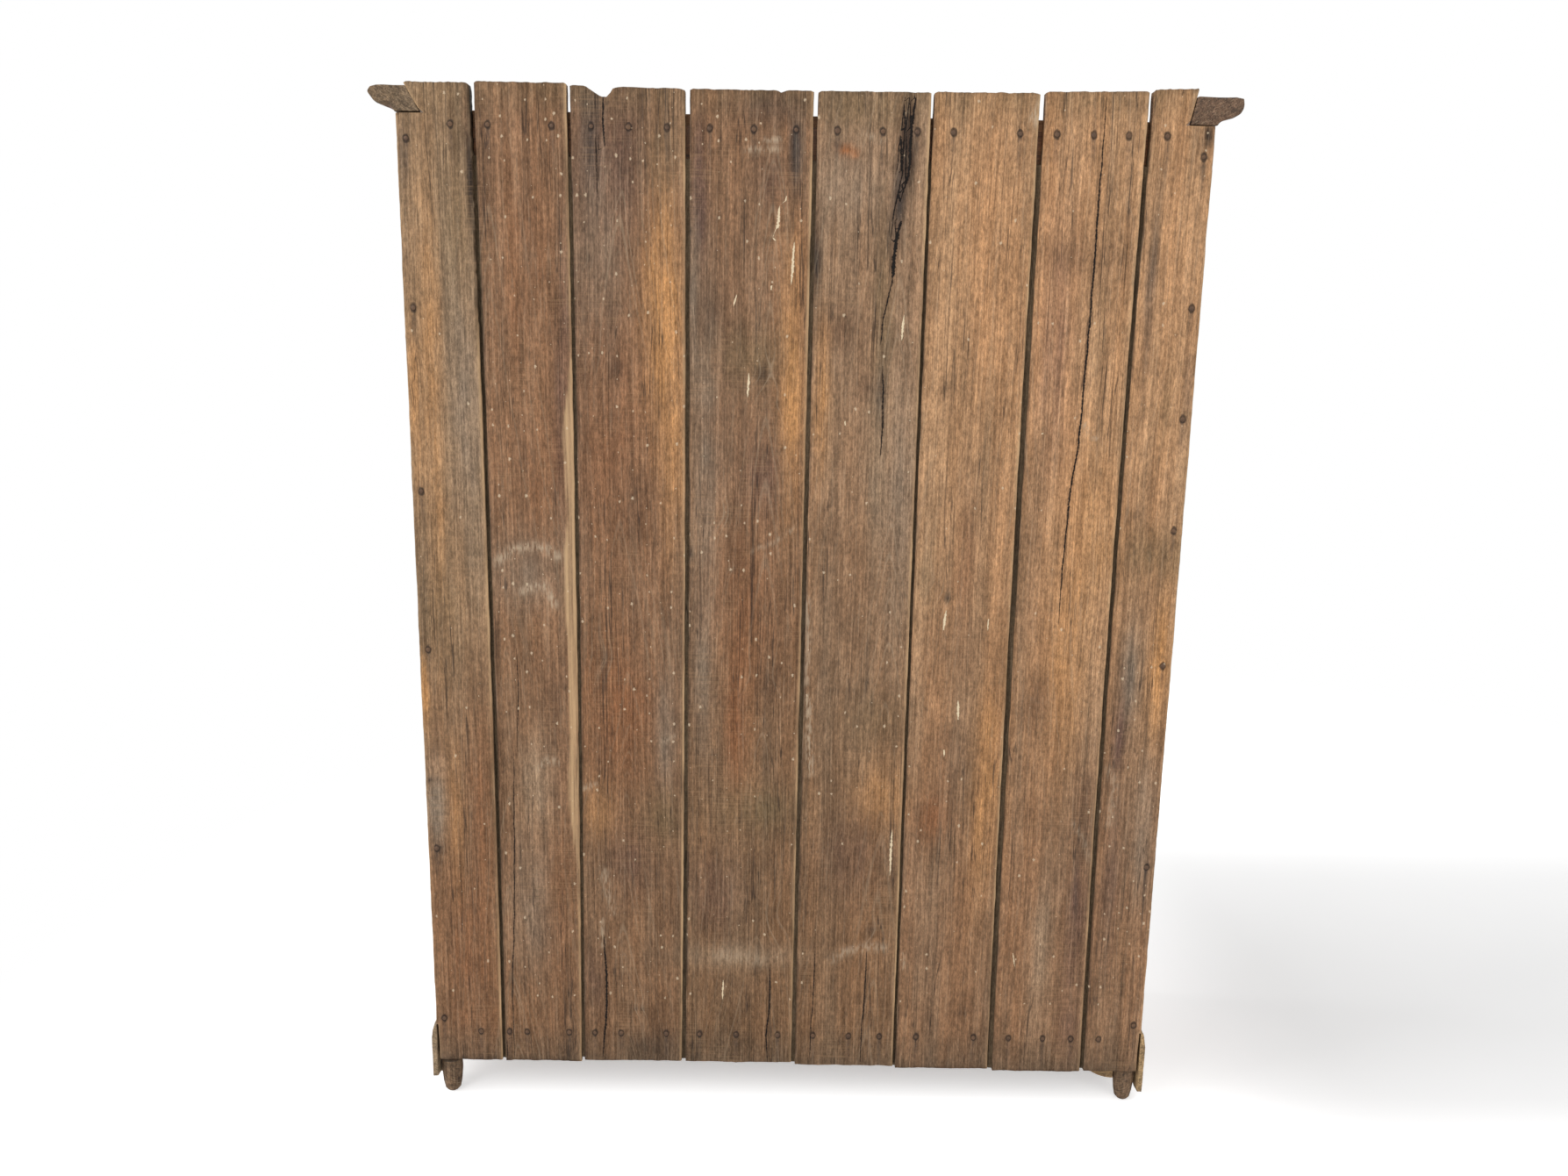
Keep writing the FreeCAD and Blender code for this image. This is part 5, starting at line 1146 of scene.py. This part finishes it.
def board_wear(own):
    """Where a board's arris is rubbed and painted pale as a highlight, its limewash specks and its
    scuffs.
    """
    board, z = own.board, own.z
    edge_wear_and_highlight = np.zeros(len(z))
    # A pale line along each board's -X arris: partly rubbed bare, partly a painted highlight where
    # light would catch that edge
    if board < LAST:
        edge_wear_and_highlight = bell(own.from_far, 4.2) * (0.8 + 0.45 * own.drift(520, 70))
        edge_wear_and_highlight = edge_wear_and_highlight * (1 - 0.8 * (board == 0) * ease(z, 1560, 1700))
    if board == 1:
        strip = 17 * ease(z, 480, 700) * (1 - ease(z, 1350, 1620)) * (1 + 0.3 * drift(540, z, 90))
        pale = 0.85 * (1 - ease(own.from_far, strip, strip + 5)) * (strip > 2)
        edge_wear_and_highlight = np.maximum(edge_wear_and_highlight, pale)
    if board in CROWN_CUTS:
        outer = own.from_near if board == 0 else own.from_far
        edge_wear_and_highlight = np.maximum(edge_wear_and_highlight, 0.5 * bell(outer, 3.0))
    specks = SPECKS[board] * (1 + 0.6 * own.cloud(560, 70, 150)) * (z > 230)
    if board >= 5:
        specks = specks * (1 + 1.5 * (1 - ease(z, 500, 900)))
    scuffs = [
        strength * near_polyline(own.seen, z, points, half_width)
        for points, half_width, strength in SCUFFS
    ]
    return np.stack([edge_wear_and_highlight, specks, np.max(scuffs, 0)], 1) * own.face[:, None]


def beside_nails(own, nails):
    """Each place's offset from the nail whose stain it lies in, in metres."""
    offset = np.full((len(own.x), 3), 1.0)
    for nail in nails:
        dx, dz = own.x - nail[0], own.z - nail[2]
        close = (np.abs(dx) < NAIL_ZONE) & (dz < NAIL_ZONE) & (dz > -DRIP_LENGTH) & own.face
        offset[close] = np.stack([dx[close], 0 * dx[close], dz[close]], 1) * MM
    return offset


def paint_board(board, mesh, nails):
    """Keeps a board's shades, rings, stains, splits, rubbing and painted highlight as mesh
    attributes.
    """
    own = Board(board, mesh)
    ring, shown = board_rings(own)
    crack, crack_width = beside_splits(own.seen, own.z)
    scratch, scratch_width = beside_scratches(own.seen, own.z)
    marks = {
        "wear_and_highlight": board_wear(own),
        "crack": np.stack([crack * MM, crack_width * MM * own.face, shown], 1),
        "scratch": np.stack([scratch * MM, scratch_width * MM * own.face, 0 * own.x], 1),
        "nail": beside_nails(own, nails),
    }
    write(mesh, "tone", "FLOAT_COLOR", np.c_[board_tone(own), np.ones(len(own.x))])
    write(mesh, "ring", "FLOAT", ring)
    for name, values in marks.items():
        write(mesh, name, "FLOAT_VECTOR", values)


def nail_places():
    """The middle of each nail's head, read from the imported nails, in millimetres."""
    bm = packed("back_nails")
    number, count = islands(bm)
    places = np.array([v.co for v in bm.verts]) / MM
    bm.free()
    spots = []
    for i in range(count):
        nail = places[number == i]
        x, _, z = nail[nail[:, 1] > OUTER_FACE + 0.5].mean(0)
        spots.append((x, OUTER_FACE, z))
    return np.array(spots)


nails = nail_places()
for board in range(len(FEET)):
    shell = board_shell(board)
    paint_board(board, shell, nails)
    add_piece(shell.name, shell, [f"back_board_{board + 1}"])


# ---------------------------------------------------------------- geometry nodes
def cast(bench, label, instances, finish):
    """Puts instances out of a tree as plain geometry in a finish."""
    real = bench.result("GeometryNodeRealizeInstances", {0: instances})
    painted = bench.result("GeometryNodeSetMaterial", {"Geometry": real, "Material": finish})
    put_out(bench, {label: painted}, "Geometry")


def lifted(bench, geometry, height):
    """Geometry moved up by a height."""
    inputs = {"Geometry": geometry, "Translation": bench.join(0.0, 0.0, height)}
    return bench.result("GeometryNodeTransform", inputs)


def nail_head_tree():
    """Geometry nodes: a hammered, rusted nail on every point, each turned and sized its own way."""
    sizes = {"Head radius": 0.0044, "Head rise": 0.0015, "Shank": 0.038, "Size change": 0.14}
    inputs = {"Points": "Geometry", **sizes, "Seed": 7, "Finish": "Material"}
    tree, bench, given = new_tree("hand made nails", "GeometryNodeTree", inputs)
    ball_size = {"Segments": 12, "Rings": 7, "Radius": given["Head radius"]}
    ball = bench.result("GeometryNodeMeshUVSphere", ball_size)
    lump_size = {"Vector": bench.result("GeometryNodeInputPosition"), "Scale": 320.0, "Detail": 2.0}
    lumps = bench.node("ShaderNodeTexNoise", lump_size).outputs["Color"]
    shift = bench.vector("SUBTRACT", lumps, (0.5, 0.5, 0.5))
    shift = bench.vector("MULTIPLY", shift, (0.0009, 0.0009, 0.0009))
    dented = bench.result("GeometryNodeSetPosition", {"Geometry": ball, "Offset": shift})
    flat = bench.join(1.0, 1.0, bench.maths("DIVIDE", given["Head rise"], given["Head radius"]))
    head = bench.result("GeometryNodeTransform", {"Geometry": dented, "Scale": flat})
    shank_size = {"Vertices": 4, "Radius Top": 0.0011, "Radius Bottom": 0.0004}
    shank = bench.result("GeometryNodeMeshCone", {**shank_size, "Depth": given["Shank"]})
    shank = lifted(bench, shank, bench.times(given["Shank"], -1.0))
    whole = bench.node("GeometryNodeJoinGeometry")
    for part in (head, shank):
        bench.feed(whole.inputs[0], part)
    lean, upright = 0.12, -math.pi / 2
    turns = {0: (upright - lean, -lean, 0.0), 1: (upright + lean, lean, 0.0), "Seed": given["Seed"]}
    turn = bench.result("FunctionNodeRandomValue", turns, data_type="FLOAT_VECTOR")
    size = bench.node("FunctionNodeRandomValue", data_type="FLOAT")
    small = bench.minus(1.0, given["Size change"])
    large = bench.plus(1.0, given["Size change"])
    bench.fill(size, {2: small, 3: large, "Seed": given["Seed"]})
    inputs = {"Instance": whole.outputs[0], "Rotation": turn, "Scale": size.outputs[1]}
    spread = bench.result("GeometryNodeInstanceOnPoints", {"Points": given["Points"], **inputs})
    cast(bench, "Nails", spread, given["Finish"])
    return tree


def screw_head_tree():
    """Geometry nodes: a slotted screw head on every point, each slot turned its own way."""
    sizes = {"Head radius": 0.0029, "Head rise": 0.0005, "Slot width": 0.0007}
    inputs = {"Points": "Geometry", **sizes, "Facing": "Vector", "Seed": 3, "Finish": "Material"}
    tree, bench, given = new_tree("slotted screws", "GeometryNodeTree", inputs)
    radius, rise = given["Head radius"], given["Head rise"]
    rims = {"Radius Top": bench.times(radius, 0.82), "Radius Bottom": radius}
    depth = bench.times(rise, 2.0)
    head = bench.result("GeometryNodeMeshCone", {"Vertices": 14, **rims, "Depth": depth})
    slot_size = bench.join(0.02, given["Slot width"], rise)
    slot = lifted(bench, bench.result("GeometryNodeMeshCube", {"Size": slot_size}), rise)
    solids = {"Mesh 1": lifted(bench, head, bench.times(rise, -1.0)), "Mesh 2": slot}
    cut = bench.result("GeometryNodeMeshBoolean", solids, operation="DIFFERENCE")
    inputs = {"Points": given["Points"], "Instance": cut, "Rotation": given["Facing"]}
    spread = bench.result("GeometryNodeInstanceOnPoints", inputs)
    turns = {"Seed": given["Seed"], 0: (0.0, 0.0, 0.0), 1: (0.0, 0.0, math.pi)}
    spin = bench.result("FunctionNodeRandomValue", turns, data_type="FLOAT_VECTOR")
    spun = bench.result("GeometryNodeRotateInstances", {"Instances": spread, "Rotation": spin})
    cast(bench, "Screws", spun, given["Finish"])
    return tree


def grown(name, points, tree, **inputs):
    """The plain mesh that a geometry nodes tree makes on a set of points."""
    seedbed = bpy.data.meshes.new(name + "_points")
    seedbed.from_pydata(points, [], [])
    holder = add_object(name + "_points", seedbed)
    modifier = holder.modifiers.new("nodes", "NODES")
    modifier.node_group = tree
    for item in tree.interface.items_tree:
        if item.in_out == "INPUT" and item.name in inputs:
            modifier[item.identifier] = inputs[item.name]
    graph = bpy.context.evaluated_depsgraph_get()
    mesh = bpy.data.meshes.new_from_object(holder.evaluated_get(graph), depsgraph=graph)
    mesh.name = name
    holder.modifiers.clear()
    bpy.data.objects.remove(holder)
    return mesh


points = [(x * MM, (OUTER_FACE + 0.2) * MM, z * MM) for x, _, z in nails]
rusty = rusty_iron("rusty nails", shade(92, 72, 58), shade(112, 84, 62))
nail_mesh = grown("hand_made_nails", points, nail_head_tree(), Finish=rusty)
add_piece("hand_made_nails", nail_mesh, ["back_nails"])


# ---------------------------------------------------------------- turned and plated hardware
def ring_across(bm, axis, level, corners, middle=(0.0, 0.0, 0.0)):
    """A ring of corners across an axis, at a level along it, in millimetres round a middle."""
    ring = []
    for corner in corners:
        place = list(corner)
        place.insert(axis, level)
        ring.append(bm.verts.new((Vector(middle) + Vector(place)) * MM))
    return ring


def bridged(bm, pairs, smooth=False):
    """Faces between the two rings of each pair."""
    faces = []
    for low, high in pairs:
        for i in range(len(low)):
            j = (i + 1) % len(low)
            faces.append(bm.faces.new((low[i], low[j], high[j], high[i])))
            faces[-1].smooth = smooth
    return faces


def turned(bm, axis, middle, profile, sides):
    """Spins a profile, each point a radius and a place along the axis, into a closed form."""
    angles = [math.tau * (i + 0.5) / sides for i in range(sides)]
    circle = [(math.cos(angle), math.sin(angle)) for angle in angles]
    rings = [
        ring_across(bm, axis, along, [(radius * c, radius * s) for c, s in circle], middle)
        for radius, along in profile
    ]
    bridged(bm, zip(rings, rings[1:]), True)
    bm.faces.new(rings[0][::-1])
    bm.faces.new(rings[-1])


def looped(bm, middle, radius, wire, turns=28, sides=10):
    """A ring of round wire that stands in the plane across X, in millimetres."""
    rings = []
    for i in range(turns):
        a = math.tau * i / turns
        ring = []
        for j in range(sides):
            b = math.tau * j / sides
            out = radius + wire * math.cos(b)
            offset = Vector((wire * math.sin(b), out * math.cos(a), out * math.sin(a)))
            ring.append(bm.verts.new((Vector(middle) + offset) * MM))
        rings.append(ring)
    bridged(bm, zip(rings, rings[1:] + rings[:1]), True)


def slab(bm, outline, axis, low, high, ease_width):
    """A closed prism on an outline across an axis, with eased edges; all in millimetres."""
    rings = [ring_across(bm, axis, level, outline) for level in (low, high)]
    caps = [bm.faces.new(rings[0][::-1]), bm.faces.new(rings[1])]
    bmesh.ops.recalc_face_normals(bm, faces=caps + bridged(bm, [rings]))
    rounded(bm, list({edge for cap in caps for edge in cap.edges}), ease_width * MM)


def block(bm, low, high, ease_width):
    """A closed block between two corners, in millimetres, with eased edges."""
    made = bmesh.ops.create_cube(bm, size=1.0)["verts"]
    low, high = Vector(low), Vector(high)
    for vertex in made:
        part = [low[i] + (high[i] - low[i]) * (vertex.co[i] + 0.5) for i in range(3)]
        vertex.co = Vector(part) * MM
    rounded(bm, list({edge for vertex in made for edge in vertex.link_edges}), ease_width * MM)


screw_heads = screw_head_tree()
QUARTER = math.pi / 2
TO_LEFT, TO_RIGHT = (0.0, -QUARTER, 0.0), (0.0, QUARTER, 0.0)
TO_FRONT, TO_BACK = (QUARTER, 0.0, 0.0), (-QUARTER, 0.0, 0.0)


def screws(bm, places, facing, radius=2.9):
    """Adds screw heads at places, in millimetres, that face one way."""
    points = [Vector(place) * MM for place in places]
    choices = {"Facing": facing, "Head radius": radius * MM, "Finish": finishes["brass"]}
    mesh = grown("screws", points, screw_heads, **choices)
    bm.from_mesh(mesh)
    bpy.data.meshes.remove(mesh)


def metal_piece(node, bm):
    bmesh.ops.recalc_face_normals(bm, faces=bm.faces)
    mesh = poured(bm, node + "_worked")
    mesh.set_sharp_from_angle(angle=SHARP)
    add_piece(node + "_worked", mesh, [node])


DOOR_FACE, DOOR_BACK = -201.2, -171.2
HINGE_X, HINGE_Y = 700.75, -207.2
HINGE_HEIGHTS = (332.5, 1053.5, 1774.5)
HINGE_LENGTH, KNUCKLE_GAP = 76.0, 0.3
KNUCKLE = (HINGE_LENGTH - 2 * KNUCKLE_GAP) / 3
LEAF_SCREWS = ((-195.5, 9.5), (-187.0, 27.0), (-187.0, 49.0), (-195.5, 66.5))
FIXED_LEAF, DOOR_LEAF = (702.0, 704.0), (697.5, 699.5)
BARREL = ((5.05, 0.0), (5.5, 0.45), (5.5, KNUCKLE - 0.45), (5.05, KNUCKLE))


def hinge(bm, side, leaf, knuckles, low):
    """A leaf between two places across and its knuckles, from a height up."""
    near, far = sorted(side * edge for edge in leaf)
    block(bm, (near, DOOR_FACE, low), (far, DOOR_FACE + 20, low + HINGE_LENGTH), 0.35)
    for knuckle in knuckles:
        start = low + (KNUCKLE + KNUCKLE_GAP) * knuckle
        block(bm, (near, HINGE_Y, start), (far, DOOR_FACE + 1, start + KNUCKLE), 0.2)
        turned(bm, 2, (side * HINGE_X, HINGE_Y, start), BARREL, 22)


# The screws are on the face of each leaf that shows when its door is open: where that face is, and
# whether it looks away from the middle of the cabinet or, with -1, towards it
hinge_feet = [height - HINGE_LENGTH / 2 for height in HINGE_HEIGHTS]
for node, sides, leaf, knuckles, shown, way in (
    ("hinge_leaves_fixed", (-1, 1), FIXED_LEAF, (0, 2), FIXED_LEAF[0], -1),
    ("hinge_leaves_left", (-1,), DOOR_LEAF, (1,), DOOR_LEAF[1], 1),
    ("hinge_leaves_right", (1,), DOOR_LEAF, (1,), DOOR_LEAF[1], 1),
):
    bm = bmesh.new()
    for side in sides:
        for low in hinge_feet:
            hinge(bm, side, leaf, knuckles, low)
        spots = [(side * shown, y, low + z) for low in hinge_feet for y, z in LEAF_SCREWS]
        screws(bm, spots, TO_RIGHT if side * way > 0 else TO_LEFT)
    metal_piece(node, bm)

FINIAL = ((4.2, 0.0), (4.4, 0.7), (4.0, 1.7), (2.9, 2.6), (1.2, 3.0))
PIN = (
    [(radius, -along) for radius, along in FINIAL[::-1]]
    + [(2.5, 0.02), (2.5, HINGE_LENGTH - 0.02)]
    + [(radius, HINGE_LENGTH + along) for radius, along in FINIAL]
)
bm = bmesh.new()
for side in (-1, 1):
    for low in hinge_feet:
        turned(bm, 2, (side * HINGE_X, HINGE_Y, low), PIN, 16)
metal_piece("hinge_pins", bm)

KEY_X, KEY_Z = 31.25, 1008.0
KNOB_HEIGHT = 1100.0
KNOB = (
    (3.4, -22.0), (4.0, -21.3), (4.0, 0.0), (11.0, 0.0), (11.2, 1.2), (10.5, 2.3), (8.6, 2.9),
    (7.2, 4.0), (6.3, 6.4), (6.0, 9.0), (6.2, 11.4), (7.4, 12.4), (8.4, 13.0), (9.4, 14.0),
    (11.6, 15.8), (13.2, 18.0), (14.0, 20.8), (14.0, 23.2), (13.3, 26.0), (11.7, 28.6),
    (9.2, 30.5), (6.4, 31.4), (5.9, 31.2), (3.4, 31.7), (0.8, 32.0),
)
bm = bmesh.new()
turned(bm, 1, (KEY_X, DOOR_FACE, KNOB_HEIGHT), [(radius, -along) for radius, along in KNOB], 32)
metal_piece("knob", bm)

# The key: its ring, its shank with a collar and a bit with wards, all about the height of the lock
BOW_Y, BOW_RADIUS, BOW_WIRE = -224.2, 9.0, 2.0
BIT_THICKNESS = 2.2
SHANK = (
    (1.6, -216.9), (3.0, -216.3), (3.5, -215.2), (3.0, -214.1), (2.7, -213.2), (2.6, -211.0),
    (2.6, -207.6), (3.4, -206.9), (3.2, -206.2), (4.7, -205.7), (5.2, -205.0), (5.2, -203.5),
    (4.8, -202.75), (2.6, -202.7), (2.6, -175.3), (2.1, -174.7),
)
WARDS = (
    (-180.7, 1008.0), (-180.7, 999.3), (-179.1, 999.0), (-179.0, 1002.4), (-178.1, 1002.4),
    (-178.0, 999.0), (-176.9, 999.0), (-176.8, 1001.4), (-176.1, 1001.4), (-176.0, 999.0),
    (-174.7, 999.4), (-174.7, 1008.0),
)
bm = bmesh.new()
looped(bm, (KEY_X, BOW_Y, KEY_Z), BOW_RADIUS, BOW_WIRE)
turned(bm, 1, (KEY_X, 0.0, KEY_Z), SHANK, 18)
slab(bm, WARDS, 0, KEY_X - BIT_THICKNESS / 2, KEY_X + BIT_THICKNESS / 2, 0.15)
metal_piece("key", bm)

# The lock's plates: how far their edges are eased, the places across, the depth and the heights
# of their screws, which way these face and their radius, all in millimetres
PLATES = {
    "escutcheon": (0.4, (KEY_X,), DOOR_FACE - 1.5, (990.5, 1025.5), TO_FRONT, 1.7),
    "lock_case": (0.5, (7.0, 53.0), DOOR_BACK, (996.0, 1034.0), TO_BACK, 2.9),
    "strike_plate": (0.3, (-1.25,), -179.2, (1007.0, 1041.0), TO_RIGHT, 2.4),
    "lock_bolt": (0.6, (), 0.0, (), TO_BACK, 0.0),
}
for node, (ease_width, across, y, heights, facing, radius) in PLATES.items():
    bm = eased_copy(node, ease_width * MM)
    split_faces(bm)
    if across:
        screws(bm, [(x, y, z) for x in across for z in heights], facing, radius)
    metal_piece(node, bm)

# Barrel bolts: back plates with two straps each, rods with a thumb stub
BOLT_X, ROD_Y = -36.25, -164.6
PLATE_LENGTH, PLATE_HALF_WIDTH, STRAP_WIDTH = 118, 13, 12
ARCH = [(math.cos(a), math.sin(a)) for a in np.linspace(0, math.pi, 11)]
STRAP = (
    [(10.2, -4.7), (10.2, -3.3), (7.0, -3.3)]
    + [(6.6 * c, 6.6 * s) for c, s in ARCH]
    + [(-7.0, -3.3), (-10.2, -3.3), (-10.2, -4.7), (-4.15, -4.7)]
    + [(4.15 * c, 4.15 * s) for c, s in ARCH[::-1]]
    + [(4.15, -4.7)]
)
STRAP = [(BOLT_X + x, ROD_Y + y) for x, y in STRAP]
ROD = ((2.6, 0.0), (3.7, 0.7), (4.0, 1.6), (4.0, 115.4), (3.7, 116.3), (2.6, 117.0))
STUB = (
    (2.6, 2.0), (2.5, 7.0), (2.9, 8.4), (2.6, 9.0), (3.4, 10.0), (3.7, 11.4), (3.3, 12.9),
    (2.2, 13.8), (0.8, 14.0),
)
bm = bmesh.new()
for low, straps in ((193.0, (196.0, 278.0)), (1796.0, (1817.0, 1899.0))):
    near, far = BOLT_X - PLATE_HALF_WIDTH, BOLT_X + PLATE_HALF_WIDTH
    block(bm, (near, DOOR_BACK, low), (far, DOOR_BACK + 2, low + PLATE_LENGTH), 0.5)
    for start in straps:
        slab(bm, STRAP, 2, start, start + STRAP_WIDTH, 0.3)
    heights = straps[0] + 20, straps[1] - 8
    screws(bm, [(BOLT_X + x, DOOR_BACK + 2, z) for x in (-8.5, 8.5) for z in heights], TO_BACK, 2.4)
metal_piece("bolt_plates", bm)
for node, low, stub_height in (("bolt_rod_bottom", 190.0, 257.0), ("bolt_rod_top", 1800.0, 1850.0)):
    bm = bmesh.new()
    turned(bm, 2, (BOLT_X, ROD_Y, low), ROD, 20)
    turned(bm, 1, (BOLT_X, ROD_Y, stub_height), STUB, 16)
    metal_piece(node, bm)

# ---------------------------------------------------------------- woodwork and glass
# How far edges are eased, in metres, by the start of the node's name
EASE = {
    "door_left_glazing_bars": 0.0005, "door_right_glazing_bars": 0.0005, "rail_front": 0.0006,
    "cleats": 0.0, "door": 0.0008, "cornice": 0.0015, "skirt": 0.0015, "shelf": 0.001,
    "side_panels": 0.0006,
}
for node, slot in slots.items():
    if slot in ("teak_frame", "teak_inside"):
        wooden_piece(node, by_start(EASE, node, 0.0012))
    elif slot == "glass":
        pane = frame["nodes"][node].data
        pane.materials.clear()
        pane.materials.append(finishes[slot])

# ---------------------------------------------------------------- room, lamps and camera
WHITE = (1.0, 1.0, 1.0, 1.0)
FLOOR_REACH = 12
corners = [(x * FLOOR_REACH, y * FLOOR_REACH, 0) for x, y in ((-1, -1), (1, -1), (1, 1), (-1, 1))]
floor_mesh = bpy.data.meshes.new("studio_floor")
floor_mesh.from_pydata(corners, [], [(0, 1, 2, 3)])
floor = add_object("studio_floor", floor_mesh)

# The floor gives light of its own to the camera: less where the shadow falls to one side, a
# little more below the boards, and plain white far off
floor_paint, bench, shader = material("white floor")
place = bench.place()
mottle = bench.noise(place, 2.0, 3.0)
bench.fill(shader, {
    "Base Color": bench.mix(mottle, shade(230, 230, 230), shade(234, 234, 234)),
    "Roughness": 0.9,
    "Specular IOR Level": 0.1,
})
looked_at = bench.node("ShaderNodeLightPath").outputs["Is Camera Ray"]
x, y, _ = bench.split(place)
beside_it = bench.spread(x, -0.6, -1.3)
band = bench.times(bench.spread(y, 0.5, 0.2), bench.spread(y, -1.75, -0.85))
below = bench.spread(bench.maths("ABSOLUTE", x), 1.1, 0.7)
below = bench.times(below, bench.spread(y, 0.0, 0.3))
lift = bench.minus(0.4, bench.times(bench.times(beside_it, band), 0.36))
lift = bench.plus(lift, bench.times(below, 0.15))
lifted = {"Color": WHITE, "Strength": bench.times(looked_at, lift)}
lit = {0: shader.outputs[0], 1: bench.result("ShaderNodeEmission", lifted)}
away = bench.length(bench.vector("ADD", place, (1.2, 0.3, 0.0)))
blend = bench.result("ShaderNodeMixShader", {
    0: bench.times(looked_at, bench.spread(away, 2.0, 3.2)),
    1: bench.result("ShaderNodeAddShader", lit),
    2: bench.result("ShaderNodeEmission", {"Color": WHITE}),
})
last = next(node for node in floor_paint.node_tree.nodes if node.type == "OUTPUT_MATERIAL")
bench.feed(last.inputs["Surface"], blend)
floor_mesh.materials.append(floor_paint)

# The world is white to look at and dimmer as a light
world = bpy.data.worlds.new("studio")
bpy.context.scene.world = world
world.use_nodes = True
world.node_tree.nodes.clear()
bench = Bench(world.node_tree)
path = bench.node("ShaderNodeLightPath").outputs
seen = bench.maths("MAXIMUM", path["Is Glossy Ray"], path["Is Transmission Ray"])
seen = bench.maths("MAXIMUM", path["Is Camera Ray"], seen)
light = {"Color": WHITE, "Strength": bench.spread(seen, 0.0, 1.0, 0.62, 1.0)}
background = bench.result("ShaderNodeBackground", light)
bench.node("ShaderNodeOutputWorld", {"Surface": background})


def aimed(holder, direction):
    holder.rotation_euler = Vector(direction).to_track_quat("-Z", "Y").to_euler()


def lamp(name, place, aim, size, power):
    light = bpy.data.lights.new(name, "AREA")
    light.energy, light.size = power, size
    holder = add_object(name, light)
    holder.location = place
    aimed(holder, Vector(aim) - Vector(place))


sun = bpy.data.lights.new("side sun", "SUN")
sun.energy, sun.angle = 1.2, math.radians(28)
aimed(add_object("side sun", sun), (-1.0, -0.16, -0.66))
lamp("key lamp", (3.0, 2.9, 3.0), (0.0, 0.2, 1.0), 2.4, 60)
lamp("fill lamp", (-2.6, 3.4, 2.2), (0.0, 0.2, 1.0), 2.6, 30)
lamp("front lamp", (-2.2, -3.4, 3.0), (0.0, -0.2, 1.0), 2.6, 70)

# The camera's place and turn, fitted to the photograph: a phone held at 1.57 m
CAMERA_PLACE = (0.0385, 2.5235, 1.5715)
CAMERA_TURN = (0.298, 11.179, 0.935)
camera_data = bpy.data.cameras.new("photographer")
camera_data.sensor_width = 36.0
camera_data.lens = 27.035
camera = add_object("photographer", camera_data)
yaw, pitch, roll = (math.radians(angle) for angle in CAMERA_TURN)
level_ahead = Vector((-math.sin(yaw), -math.cos(yaw), 0.0))
ahead = level_ahead * math.cos(pitch) - Vector((0.0, 0.0, math.sin(pitch)))
aside = Vector((-math.cos(yaw), math.sin(yaw), 0.0))
above = aside.cross(ahead)
right = math.cos(roll) * aside + math.sin(roll) * above
up = math.cos(roll) * above - math.sin(roll) * aside
turn = Matrix((right, up, -ahead)).transposed().to_4x4()
camera.matrix_world = Matrix.Translation(CAMERA_PLACE) @ turn
bpy.context.scene.camera = camera
bpy.context.scene.view_settings.view_transform = "Standard"

bpy.context.view_layer.update()
